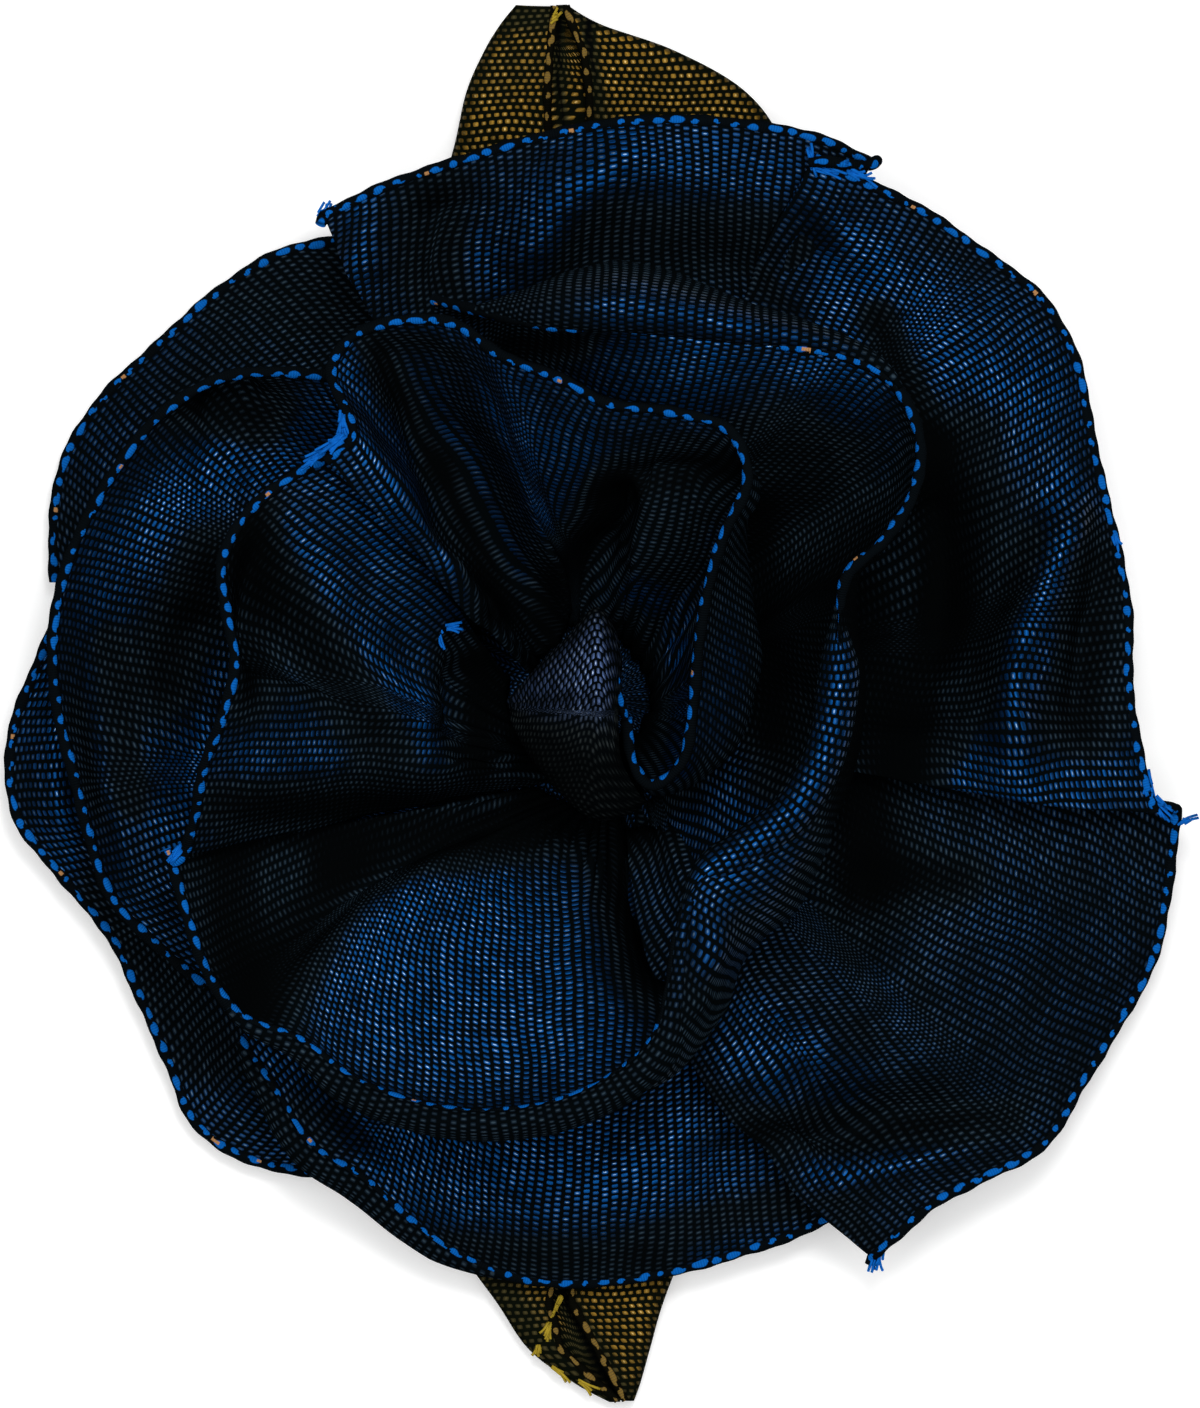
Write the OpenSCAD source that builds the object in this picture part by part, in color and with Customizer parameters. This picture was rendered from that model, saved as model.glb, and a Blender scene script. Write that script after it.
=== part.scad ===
// A rose-shaped brooch of gathered ribbon on a bar pin, lying on its back.
// The face looks up, +Z. The origin is on the surface that it rests on.
// A petal is a length of ribbon with one selvedge sewn to the base and the
// other free as its rim.

/* [Ribbon] */
// Wall of a petal or leaf
cloth_t = 1.0; // [0.8:0.1:1.2]
// Strips across the ribbon from the sewn edge to the rim
steps_across = 7; // [5:1:9]
// Sections between two rows of a petal's table
steps_along = 2; // [1:1:2]

/* [Sewn base] */
// Radius of the sewn mound that carries the petals
mound_r = 15; // [14.8:0.1:15.5]
// Underside of the sewn mound
mound_z = 7; // [7:0.1:7.2]
// Thickness of the sewn mound at its edge
mound_edge_t = 1.4; // [1.2:0.1:1.4]
// Height of the sewn mound's middle above its edge
mound_rise = 4; // [3.8:0.1:4.2]

/* [Bar pin] */
// Length of the pin's bar
bar_l = 32; // [28:1:36]
// Width of the pin's bar
bar_w = 5; // [4:0.5:6]
// Thickness of the pin's bar
bar_t = 1; // [0.8:0.1:1.2]
// Diameter of the pin's stem
stem_d = 0.9; // [0.8:0.1:1.1]
// Outer diameter of the catch's loop
catch_d = 3.8; // [3.4:0.1:4]

/* [Hidden] */

// Middle of the rose, where the ribbon is sewn
hub = [-0.5, 0.5];
// Gap between pieces that are sewn or glued together
seat_gap = 0.3;
// Radius of the mound's flat middle
mound_flat_r = 3;

mound_top = mound_z + mound_edge_t + mound_rise;

// Posts of the pin: their thickness along the bar, their width across it,
// and how deep they run into the bar
post_t = 2.4;
post_w = 3;
post_sink = 0.4;
// Bore and side slot of the catch, round the stem's tip
catch_bore_d = 1.8;
catch_slot = 1.1;
// Point of the stem
point_l = 2.4;
point_d = 0.3;

ribbon_blue = [0.05, 0.12, 0.24];
leaf_gold = [0.33, 0.25, 0.12];
pin_steel = [0.72, 0.72, 0.74];

// Each petal's table has a row for each section across the ribbon, in order
// along it, with these columns:
// rim_x, rim_y, rim_z   the point of the section on the rim
// base_deg              the direction from the hub of its point on the base
// belly                 how far its middle is pushed out from the hub
// rise                  how far its middle is pushed up
// sway                  how far its middle is pushed round, anticlockwise
// dip                   how far it is lifted near the base; hollows are below zero
DEG = 3;
BELLY = 4;
RISE = 5;
SWAY = 6;
DIP = 7;
// Millimetres that a hollow leans outwards for each one it goes down
dip_lean = 0.4;

inner_upper_rows = [
    [  2.0, -1.0, 26.0, -98,  1.0,  0.0, 0.0,  0.0],
    [  2.4, -4.2, 25.5, -84,  2.0,  0.0, 0.0,  0.0],
    [  3.9, -6.0, 25.0, -66,  3.0,  0.0, 0.0,  0.0],
    [  6.2, -4.0, 26.0, -48,  5.0,  0.0, 0.0,  0.0],
    [  6.9,  0.5, 27.5, -28,  8.0,  0.0, 0.0,  0.0],
    [  7.3,  4.6, 29.0,  -6,  9.0, -1.0, 0.0,  0.0],
    [  8.0,  8.6, 30.5,  12,  9.0, -2.5, 0.0,  0.0],
    [  9.2, 12.6, 32.0,  26,  8.0, -3.0, 0.0,  0.0],
    [ 11.0, 16.8, 33.0,  38,  5.0, -1.5, 0.0,  0.0],
    [  9.6, 20.6, 32.5,  50,  2.0,  2.0, 0.0,  0.0],
    [  5.2, 22.0, 32.0,  62,  0.0,  4.0, 0.0,  0.0],
    [  0.6, 22.6, 31.5,  76,  0.0,  4.0, 0.0,  0.0],
    [ -2.8, 24.4, 30.5,  90,  0.0,  4.0, 0.0,  0.0],
    [ -7.4, 26.2, 28.5, 104,  0.0,  4.0, 0.0,  0.0],
    [-11.0, 28.6, 26.5, 116,  0.0,  4.0, 0.0,  0.0],
    [-15.0, 28.8, 25.5, 126,  1.0,  0.0, 0.0, -2.0],
    [-18.6, 27.6, 25.0, 136,  1.0,  1.0, 0.0, -1.0],
    [-20.2, 25.0, 26.0, 144,  0.0,  4.5, 0.0,  1.0],
    [-19.2, 22.2, 28.0, 151, -1.5,  5.0, 0.0,  0.0],
    [-18.6, 20.0, 29.0, 158, -1.0,  5.0, 0.0,  0.0],
    [-20.6, 18.3, 28.8, 164,  0.0,  5.0, 0.0,  0.0]
];
inner_left_rows = [
    [-19.7,  18.9, 26.4, 168, 0.0,  3.0, 0.0,  0.0],
    [-21.6,  18.0, 26.2, 184, 0.0,  3.5, 0.0,  0.0],
    [-24.2,  16.4, 26.2, 198, 0.0,  4.0, 0.0,  0.0],
    [-26.8,  14.0, 26.0, 209, 0.0,  4.0, 0.0,  0.0],
    [-28.4,  10.6, 26.5, 218, 0.0,  4.0, 0.0,  0.0],
    [-28.0,   6.8, 27.5, 224, 0.0,  3.0, 0.0,  0.0],
    [-27.4,   3.0, 28.5, 229, 0.0,  2.0, 0.0,  0.0],
    [-28.4,  -1.0, 28.0, 234, 0.5,  1.5, 0.0,  1.0],
    [-29.8,  -4.8, 26.0, 239, 1.0,  2.0, 0.0,  2.0],
    [-30.4,  -8.2, 23.5, 245, 1.0,  0.0, 0.0,  1.0],
    [-31.2, -11.2, 21.3, 254, 0.0, -3.5, 0.0, -0.8]
];
scroll_rows = [
    [-32.4, -11.0, 20.0, 238,  1.0, -4.5,  0.0,   0.0],
    [-31.0, -16.0, 21.5, 244,  2.0, -5.6,  0.0,   0.4],
    [-29.4, -20.4, 20.5, 250,  2.0, -5.4, -1.0,   0.8],
    [-26.8, -23.6, 19.0, 254,  3.0, -4.2, -4.0,   0.8],
    [-22.4, -25.4, 18.5, 258,  6.0, -1.0, -6.0,   2.0],
    [-18.8, -28.0, 19.0, 262,  9.0, -1.0, -4.0,   2.0],
    [-14.4, -29.8, 20.5, 266, 10.0, -2.0, -2.0,   3.0],
    [ -9.2, -30.6, 22.0, 270, 10.5, -2.0,  0.0,   3.0],
    [ -3.2, -29.8, 23.5, 274, 10.5, -2.0,  0.0,   3.0],
    [  1.6, -27.4, 25.0, 279, 11.5, -2.0,  0.0,   2.0],
    [  4.2, -24.6, 26.5, 285, 13.0, -1.0,  0.0,   0.0],
    [  5.2, -20.8, 28.5, 292, 14.0,  0.0,  0.0,  -3.0],
    [  5.8, -16.8, 29.5, 300, 13.0,  2.0,  0.0,  -7.0],
    [  7.4, -13.2, 29.0, 310, 10.0,  4.0,  0.0, -11.0],
    [ 10.6, -11.0, 28.0, 321,  8.0,  5.0,  0.0, -13.0],
    [ 14.4,  -8.0, 27.5, 333,  6.0,  5.0,  0.0, -14.5],
    [ 16.8,  -3.6, 27.5, 344,  6.0,  5.0,  0.0, -14.5],
    [ 17.8,   1.6, 28.0, 355,  6.0,  4.0,  0.0, -12.0],
    [ 17.8,   6.0, 29.5, 365,  6.0,  2.0,  0.0,  -6.0],
    [ 18.4,   9.6, 31.0, 375,  7.0,  0.0,  0.0,   0.0],
    [ 21.0,  12.0, 31.0, 385,  7.0, -2.0,  0.0,   0.0],
    [ 23.2,  15.2, 29.0, 395,  7.0, -3.0,  0.0,   0.0],
    [ 24.0,  18.8, 27.5, 405,  7.0, -3.0,  0.0,   0.0],
    [ 23.2,  22.2, 27.0, 414,  6.0,  0.0,  0.0,   0.0],
    [ 21.2,  24.8, 27.0, 422,  4.0,  3.0,  0.0,   0.0],
    [ 18.0,  26.2, 27.5, 430,  2.0,  4.5,  0.0,  -1.0],
    [ 14.6,  26.8, 28.0, 437,  1.0,  5.0,  0.0,  -2.0],
    [ 10.8,  27.0, 29.0, 444,  0.0,  4.5,  0.0,  -2.0],
    [  7.0,  27.4, 29.5, 451,  0.0,  4.5,  0.0,  -2.0],
    [  3.0,  27.8, 30.0, 458,  2.0,  2.5,  0.0,  -1.0],
    [ -1.0,  28.0, 30.0, 465,  5.0,  0.0,  0.0,   0.0],
    [ -4.8,  28.4, 28.5, 472,  9.5,  0.0,  0.0,   0.0],
    [ -8.4,  29.2, 23.0, 479,  9.0, -2.0,  0.0,   0.0],
    [-12.4,  30.4, 18.0, 486,  5.0, -2.0,  0.0,   0.0]
];
middle_left_rows = [
    [-19.6,  24.6, 16.0, 134, 0.0, -1.0, 0.0, 0.0],
    [-24.4,  25.0, 16.5, 142, 2.0, -3.0, 0.0, 0.0],
    [-28.8,  24.4, 16.0, 150, 4.0, -5.0, 0.0, 0.0],
    [-33.0,  21.8, 15.5, 158, 4.0, -5.0, 0.0, 0.0],
    [-36.2,  18.0, 15.0, 165, 3.0, -4.0, 0.0, 0.0],
    [-38.8,  13.6, 14.5, 172, 3.0, -4.0, 0.0, 0.0],
    [-40.5,   9.2, 14.0, 179, 4.0, -5.0, 0.0, 1.0],
    [-41.2,   4.4, 13.5, 186, 5.0, -5.5, 0.0, 1.5],
    [-40.8,  -0.6, 13.0, 193, 5.0, -5.5, 0.0, 1.5],
    [-39.6,  -5.4, 12.5, 200, 5.0, -5.5, 0.0, 1.5],
    [-38.4, -10.2, 11.5, 207, 4.0, -5.0, 0.0, 1.0],
    [-36.8, -14.6, 10.5, 213, 3.0, -3.5, 0.0, 0.0],
    [-33.4, -18.2,  9.8, 219, 1.0, -2.0, 0.0, 0.0],
    [-29.8, -21.2,  9.4, 225, 0.0, -1.0, 0.0, 0.0]
];
middle_lower_rows = [
    [-27.2, -25.2, 9.4, 232, 0.0, -1.0, 0.0,   0.2],
    [-24.6, -29.0, 9.8, 240, 0.0, -0.8, 0.0,   0.5],
    [-21.8, -33.2, 9.5, 247, 0.0, -0.5, 0.0,  -2.0],
    [-17.8, -35.8, 8.5, 253, 0.0,  1.5, 0.0,  -6.0],
    [-14.2, -39.0, 6.8, 259, 1.5,  3.5, 0.0,  -9.0],
    [-10.4, -41.6, 5.4, 265, 3.0,  4.5, 0.0, -11.0],
    [ -5.4, -43.4, 4.8, 271, 3.5,  5.0, 0.0, -12.0],
    [  0.0, -43.6, 4.6, 277, 3.5,  5.0, 0.0, -12.0],
    [  5.2, -42.8, 4.8, 283, 3.0,  4.5, 0.0, -11.0],
    [ 10.4, -41.4, 4.6, 290, 2.0,  3.0, 0.0,  -8.0],
    [ 15.6, -39.6, 4.2, 297, 0.0,  0.5, 0.0,  -4.0],
    [ 20.4, -36.6, 4.0, 304, 0.0, -1.0, 0.0,   0.0]
];
outer_lower_right_rows = [
    [20.6, -41.6, 7.5, 284, 0.0,  2.0, -6.0,  0.0],
    [22.4, -40.0, 9.0, 290, 0.0,  3.0, -4.0,  0.0],
    [25.2, -37.6, 9.0, 297, 0.0,  1.0, -2.0,  0.0],
    [29.0, -35.6, 8.5, 304, 0.0,  2.5, -1.0, -1.5],
    [33.4, -33.2, 7.5, 311, 0.0,  3.5,  0.0, -3.0],
    [36.2, -28.8, 6.0, 318, 0.0,  4.5,  0.0, -3.0],
    [39.0, -24.2, 5.0, 325, 0.0,  4.5,  0.0, -3.0],
    [41.6, -19.4, 5.0, 332, 0.0,  4.0,  0.0, -4.0],
    [42.8, -14.0, 5.5, 339, 0.0,  2.0,  0.0, -5.0],
    [43.4,  -8.8, 7.0, 346, 0.0, -1.0,  0.0, -5.5]
];
outer_right_rows = [
    [41.8, -8.2, 10.5, 342, 0.0, 2.0, -1.0,  -3.6],
    [40.6, -3.8, 10.5, 350, 0.0, 5.0,  0.0,  -9.0],
    [39.8,  1.4, 10.0, 359, 0.0, 6.0,  0.0, -14.0],
    [39.8,  6.4,  9.0, 368, 0.0, 6.5,  0.0, -16.0],
    [39.0, 11.4,  8.5, 377, 0.0, 6.0,  0.0, -16.0],
    [37.8, 16.4,  8.5, 384, 0.0, 5.0,  0.0, -14.0],
    [36.8, 21.2,  8.5, 391, 0.0, 4.0,  0.0,  -9.0],
    [35.8, 26.0,  8.5, 398, 0.0, 4.0,  0.0,  -7.0],
    [33.2, 30.6,  8.5, 404, 0.0, 4.0,  0.0,  -8.0],
    [28.8, 34.0,  9.0, 410, 0.0, 4.0,  0.0, -10.0],
    [24.2, 37.2, 10.5, 416, 0.0, 3.0,  0.0,  -5.5],
    [19.6, 39.4, 12.0, 422, 0.0, 2.0,  0.0,  -3.0],
    [16.0, 41.0, 12.5, 427, 0.0, 2.0,  1.0,  -2.0]
];
outer_top_rows = [
    [ 20.4, 40.8,  9.5,  57, 0.0, 0.0, 0.0,  -5.0],
    [ 16.4, 42.6, 11.0,  67, 0.0, 2.0, 0.0,  -9.0],
    [ 11.2, 43.6, 12.5,  77, 0.0, 3.0, 0.0, -12.0],
    [  5.6, 44.0, 13.0,  84, 0.0, 3.0, 0.0, -13.0],
    [  0.0, 43.6, 13.0,  91, 0.0, 2.5, 0.0, -12.0],
    [ -5.6, 42.4, 12.0,  98, 0.0, 2.0, 0.0,  -9.0],
    [-11.0, 40.8, 11.0, 105, 0.0, 1.5, 0.0,  -9.0],
    [-16.2, 39.0, 10.5, 112, 0.0, 1.0, 0.0,  -4.0],
    [-20.8, 36.8,  9.5, 119, 0.0, 1.0, 1.0,  -1.0]
];
outer_left_rows = [
    [-18.6, 35.2, 3.0, 116, 0.0, -1.0, 0.0, 0.0],
    [-24.2, 34.0, 2.5, 127, 0.0,  1.0, 0.0, 0.0],
    [-29.2, 30.8, 2.2, 137, 0.0,  2.0, 0.0, 0.0],
    [-33.4, 27.0, 2.2, 145, 0.0,  2.0, 0.0, 0.0],
    [-37.4, 23.2, 2.2, 152, 0.0,  2.0, 0.0, 0.0],
    [-40.2, 18.8, 2.2, 159, 0.0,  2.0, 0.0, 0.0],
    [-41.2, 14.2, 2.5, 165, 0.0,  1.0, 0.0, 0.0],
    [-41.2,  9.2, 2.8, 170, 0.0,  0.0, 0.0, 0.0]
];
back_left_rows = [
    [-40.4,   7.6, 5.5, 173, 0.0, -0.5, 0.0, -2.0],
    [-42.6,   2.6, 5.5, 180, 0.0,  0.0, 0.0, -2.5],
    [-44.4,  -2.6, 5.0, 187, 0.0,  0.0, 0.0, -2.5],
    [-44.0,  -8.4, 4.5, 194, 0.0,  0.0, 0.0, -2.5],
    [-40.6, -13.0, 4.0, 201, 0.0,  0.0, 0.0, -2.5],
    [-37.0, -17.4, 4.0, 208, 0.0,  0.5, 0.0, -2.0],
    [-34.6, -22.4, 3.5, 215, 0.0,  1.0, 0.0, -2.0],
    [-32.4, -27.4, 3.0, 222, 0.0,  1.0, 0.0, -2.0],
    [-30.4, -31.8, 2.5, 229, 0.0,  1.0, 0.0, -2.0],
    [-26.4, -34.4, 2.5, 236, 0.0,  0.0, 0.0, -2.0],
    [-21.6, -35.4, 3.0, 243, 0.0, -1.0, 0.0, -2.0]
];

// The bud is the ribbon's rolled and folded start. Its corners are those of
// its outline where it is widest, seen from above.
bud_corners = [[-6.4, -0.2], [-3.4, -5.4], [0.2, -6.4], [1.0, -1.0], [-0.3, 7.0]];
bud_middle = [-1.6, -0.4];
// Columns: z, scale of the outline, shift of its middle in x and y
bud_rows = [
    [mound_top + seat_gap, 0.34, 1.1, 0.9],
    [16.5,   0.46,  0.5,  0.8],
    [20.0,   0.66,  0.1,  0.6],
    [24.0,   0.90,  0.0,  0.2],
    [26.5,   1.00,  0.0,  0.2],
    [28.5,   0.80,  0.0,  0.8],
    [29.6,   0.45, -0.1,  1.4]
];
bud_sides = 20;

// A leaf is a length of ribbon folded to a point, with its two selvedges
// meeting on its face. Columns: y, left_x, right_x, seam_x, z of its middle
top_leaf_rows = [
    [ 9.6,  -5.0,   5.0,  0.0, 5.4],
    [15.0,  -8.0,   8.6,  0.0, 5.1],
    [22.0, -11.6,  12.4,  0.0, 4.4],
    [29.0, -13.2,  14.6, -0.2, 3.6],
    [36.0, -12.4,  14.8, -0.6, 2.8],
    [42.0, -10.8,  13.6, -1.0, 2.3],
    [46.0,  -9.9,  10.8, -1.8, 2.0],
    [49.0,  -8.6,   5.6, -2.6, 1.7],
    [51.0,  -7.4,   0.0, -3.2, 1.5],
    [52.5,  -6.2,  -2.6, -3.8, 1.3]
];
bottom_leaf_rows = [
    [ -9.6,   5.0,  -5.0, 0.0, 5.4],
    [-15.0,   7.6,  -8.4, 0.0, 5.1],
    [-22.0,  10.0, -11.8, 0.0, 4.4],
    [-29.0,  10.6, -13.4, 0.0, 3.6],
    [-36.0,   8.6, -12.8, -0.6, 2.8],
    [-41.0,   6.2, -10.4, -1.4, 2.3],
    [-45.0,   4.6,  -7.6, -1.2, 2.0],
    [-48.5,   3.6,  -5.2, -0.2, 1.7],
    [-51.0,   2.9,  -1.8,  0.9, 1.4],
    [-52.4,   2.4,   0.8,  1.6, 1.2]
];
// Half the height of a folded leaf, between the middles of its two layers
leaf_fold_r = 0.75;
// Half the width of the slit between the leaf's selvedges
leaf_slit = 0.7;

function unit(v) = v / norm(v);
function flat(rows) = [for (row = rows) for (p = row) p];
function bezier(a, b, c, d, t) =
    a * pow(1 - t, 3) + 3 * b * t * pow(1 - t, 2) + 3 * c * t * t * (1 - t) + d * pow(t, 3);

// The row at place t of a table, on a smooth curve through its rows
function row_at(rows, t) =
    let (last = len(rows) - 1,
         i = min(floor(t), last - 1),
         f = t - i,
         a = rows[max(i - 1, 0)],
         b = rows[i],
         c = rows[i + 1],
         d = rows[min(i + 2, last)])
    b + 0.5 * f * ((c - a) + f * ((2 * a - 5 * b + 4 * c - d) + f * (3 * b - a - 3 * c + d)));

// Height of the mound's surface at radius r
function mound_height(r) =
    mound_top - mound_rise * max(r - mound_flat_r, 0) / (mound_r - mound_flat_r);

// A section of a petal from its sewn edge to its rim. It stands up from its
// sewn edge before it turns outwards, by the height spring.
function section(row, base_r, spring) =
    let (rim = [row.x, row.y, row.z],
         out = unit([rim.x - hub.x, rim.y - hub.y]),
         sewn = [hub.x + base_r * cos(row[DEG]), hub.y + base_r * sin(row[DEG]),
                 mound_height(base_r) + seat_gap + cloth_t / 2],
         push = [row[BELLY] * out.x - row[SWAY] * out.y,
                 row[BELLY] * out.y + row[SWAY] * out.x,
                 row[RISE]],
         lift = [-dip_lean * row[DIP] * out.x, -dip_lean * row[DIP] * out.y, spring + row[DIP]],
         third = (rim - sewn) / 3)
    [for (j = [0 : steps_across])
        bezier(sewn, sewn + third + push + lift, rim - third + push, rim, j / steps_across)];

// The middle surface of a petal, whose base runs from radius r0 to r1
function petal_grid(rows, r0, r1, spring) =
    let (spans = len(rows) - 1, n = spans * steps_along)
    [for (i = [0 : n])
        section(row_at(rows, i / steps_along), r0 + (r1 - r0) * i / n, spring)];

// Direction square to a grid of points at row i and column j
function grid_normal(g, i, j) =
    let (along = g[min(i + 1, len(g) - 1)][j] - g[max(i - 1, 0)][j],
         across = g[i][min(j + 1, len(g[0]) - 1)] - g[i][max(j - 1, 0)])
    unit(cross(along, across));

// A wall of thickness t whose middle surface goes through a grid of points
module wall(g, t) {
    nu = len(g);
    nv = len(g[0]);
    sheet = nu * nv;
    offsets = [for (i = [0 : nu - 1]) for (j = [0 : nv - 1]) grid_normal(g, i, j) * t / 2];
    middle = flat(g);
    points = concat(middle + offsets, middle - offsets);
    function at(side, i, j) = side * sheet + i * nv + j;
    function quad(a, b, c, d) = [[a, b, c], [a, c, d]];
    faces = concat(
        flat([for (i = [0 : nu - 2]) for (j = [0 : nv - 2])
            quad(at(0, i, j), at(0, i, j + 1), at(0, i + 1, j + 1), at(0, i + 1, j))]),
        flat([for (i = [0 : nu - 2]) for (j = [0 : nv - 2])
            quad(at(1, i, j), at(1, i + 1, j), at(1, i + 1, j + 1), at(1, i, j + 1))]),
        flat([for (i = [0 : nu - 2])
            quad(at(0, i, 0), at(0, i + 1, 0), at(1, i + 1, 0), at(1, i, 0))]),
        flat([for (i = [0 : nu - 2])
            quad(at(0, i + 1, nv - 1), at(0, i, nv - 1), at(1, i, nv - 1), at(1, i + 1, nv - 1))]),
        flat([for (j = [0 : nv - 2])
            quad(at(0, 0, j + 1), at(0, 0, j), at(1, 0, j), at(1, 0, j + 1))]),
        flat([for (j = [0 : nv - 2])
            quad(at(0, nu - 1, j), at(0, nu - 1, j + 1), at(1, nu - 1, j + 1), at(1, nu - 1, j))])
    );
    polyhedron(points = points, faces = faces, convexity = 10);
}

module petal(rows, r0, r1, spring) {
    color(ribbon_blue) wall(petal_grid(rows, r0, r1, spring), cloth_t);
}

module inner_upper_petal() { petal(inner_upper_rows, 4.2, 4.4, 3); }
module inner_left_petal() { petal(inner_left_rows, 6.0, 6.2, 3); }
module scroll_petal() { petal(scroll_rows, 8.0, 9.4, 4); }
module middle_left_petal() { petal(middle_left_rows, 9.8, 9.8, 3); }
module middle_lower_petal() { petal(middle_lower_rows, 10.2, 13.0, 2); }
module outer_lower_right_petal() { petal(outer_lower_right_rows, 10.1, 13.4, 3); }
module outer_right_petal() { petal(outer_right_rows, 10.9, 10.3, 3); }
module outer_top_petal() { petal(outer_top_rows, 13.1, 12.1, 2); }
module outer_left_petal() { petal(outer_left_rows, 14.8, 14.8, 0); }
module back_left_petal() { petal(back_left_rows, 14.4, 14.4, 0); }

// A smooth closed outline through the bud's corners
function bud_outline(i) =
    let (n = len(bud_corners),
         ring = [for (k = [-1 : n + 1]) bud_corners[(k + n) % n]])
    row_at(ring, 1 + i * n / bud_sides);

module bud() {
    rings = [for (row = bud_rows) [for (i = [0 : bud_sides - 1])
        let (p = bud_outline(i))
        [bud_middle.x + row[2] + (p.x - bud_middle.x) * row[1],
         bud_middle.y + row[3] + (p.y - bud_middle.y) * row[1],
         row[0]]]];
    last = len(rings) - 1;
    function at(k, i) = k * bud_sides + i % bud_sides;
    faces = concat(
        [[for (i = [0 : bud_sides - 1]) at(0, i)]],
        [[for (i = [bud_sides - 1 : -1 : 0]) at(last, i)]],
        [for (k = [0 : last - 1]) for (i = [0 : bud_sides - 1])
            for (f = [[at(k, i), at(k + 1, i), at(k + 1, i + 1)],
                      [at(k, i), at(k + 1, i + 1), at(k, i + 1)]]) f]
    );
    color(ribbon_blue) polyhedron(points = flat(rings), faces = faces, convexity = 4);
}

// The flattened loop of a leaf's cross-section, from selvedge to selvedge
function leaf_loop(row) =
    let (y = row[0], left = row[1], right = row[2], seam = row[3], z = row[4],
         s = sign(right - left),
         r = leaf_fold_r,
         arc = [for (a = [90, 40, 0, -40, -90]) a])
    concat(
        [[seam - s * leaf_slit, y, z + r],
         [(seam + left) / 2, y, z + r * 1.15]],
        [for (a = arc) [left + s * r * (1 - cos(a)), y, z + r * sin(a)]],
        [[(left + right) / 2, y, z - r]],
        [for (k = [len(arc) - 1 : -1 : 0])
            [right - s * r * (1 - cos(arc[k])), y, z + r * sin(arc[k])]],
        [[(seam + right) / 2, y, z + r * 1.15],
         [seam + s * leaf_slit, y, z + r]]
    );

module leaf(rows) {
    color(leaf_gold) wall([for (row = rows) leaf_loop(row)], cloth_t * 0.8);
}
module top_leaf() { leaf(top_leaf_rows); }
module bottom_leaf() { leaf(bottom_leaf_rows); }

// The gathered edges of all the ribbon, sewn through into a firm mound
module sewn_base() {
    edge_z = mound_z + mound_edge_t;
    color(ribbon_blue) translate([hub.x, hub.y, 0])
        rotate_extrude($fn = 96)
            polygon([[0, mound_z], [mound_r, mound_z], [mound_r, edge_z],
                     [mound_flat_r, mound_top], [0, mound_top]]);
}

// A plain bar with a stem that lies closed in its catch, all in one piece
module bar_pin() {
    bar_top = mound_z - seat_gap;
    bar_under = bar_top - bar_t;
    stem_z = catch_d / 2;
    end_x = bar_l / 2 - bar_w / 2;
    color(pin_steel) translate([hub.x, hub.y, 0]) {
        translate([0, 0, bar_under]) linear_extrude(bar_t) {
            square([2 * end_x, bar_w], center = true);
            for (side = [-1, 1]) translate([side * end_x, 0]) circle(d = bar_w, $fn = 48);
        }
        // Hinge end: a block with a round eye
        translate([end_x - post_t / 2, -post_w / 2, stem_z])
            cube([post_t, post_w, bar_under - stem_z + post_sink]);
        translate([end_x, 0, stem_z]) rotate([90, 0, 0])
            cylinder(d = post_t, h = post_w, center = true, $fn = 48);
        // Catch end: a drum round the stem's tip, open on one side
        difference() {
            union() {
                translate([-end_x - post_t / 2, -post_w / 2, stem_z])
                    cube([post_t, post_w, bar_under - stem_z + post_sink]);
                translate([-end_x, 0, stem_z]) rotate([0, 90, 0])
                    cylinder(d = catch_d, h = post_t, center = true, $fn = 48);
            }
            translate([-end_x, 0, stem_z]) rotate([0, 90, 0])
                cylinder(d = catch_bore_d, h = 2 * post_t, center = true, $fn = 48);
            translate([-end_x - post_t, 0, stem_z - catch_slot / 2])
                cube([2 * post_t, catch_d, catch_slot]);
        }
        // Stem, with its point just past the catch
        translate([-end_x, 0, stem_z]) rotate([0, 90, 0])
            cylinder(d = stem_d, h = 2 * end_x, $fn = 32);
        translate([-end_x, 0, stem_z]) rotate([0, -90, 0])
            cylinder(d1 = stem_d, d2 = point_d, h = point_l, $fn = 32);
    }
}

bud();
inner_upper_petal();
inner_left_petal();
scroll_petal();
middle_left_petal();
middle_lower_petal();
outer_lower_right_petal();
outer_right_petal();
outer_top_petal();
outer_left_petal();
back_left_petal();
top_leaf();
bottom_leaf();
sewn_base();
bar_pin();
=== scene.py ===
# Looks of a rose-shaped ribbon brooch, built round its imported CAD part.
# Tables are in millimetres, in the CAD frame; meshes are made in metres.
import math
import bpy
import numpy as np
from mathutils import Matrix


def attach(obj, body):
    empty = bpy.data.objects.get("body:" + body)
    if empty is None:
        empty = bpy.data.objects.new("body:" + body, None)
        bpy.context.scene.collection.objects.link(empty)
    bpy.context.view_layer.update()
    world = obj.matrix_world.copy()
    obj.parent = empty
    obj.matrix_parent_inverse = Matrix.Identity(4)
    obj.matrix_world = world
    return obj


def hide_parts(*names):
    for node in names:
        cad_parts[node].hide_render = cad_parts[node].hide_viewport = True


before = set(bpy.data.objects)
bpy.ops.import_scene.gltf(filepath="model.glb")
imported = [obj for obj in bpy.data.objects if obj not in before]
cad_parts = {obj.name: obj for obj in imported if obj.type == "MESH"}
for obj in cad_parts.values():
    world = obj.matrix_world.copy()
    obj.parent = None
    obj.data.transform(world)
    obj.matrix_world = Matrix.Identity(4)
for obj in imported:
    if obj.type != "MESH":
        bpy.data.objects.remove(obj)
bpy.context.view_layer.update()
rng = np.random.default_rng(7)

MM = 0.001

# Straight up
UP = np.array([0.0, 0.0, 1.0])

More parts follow.
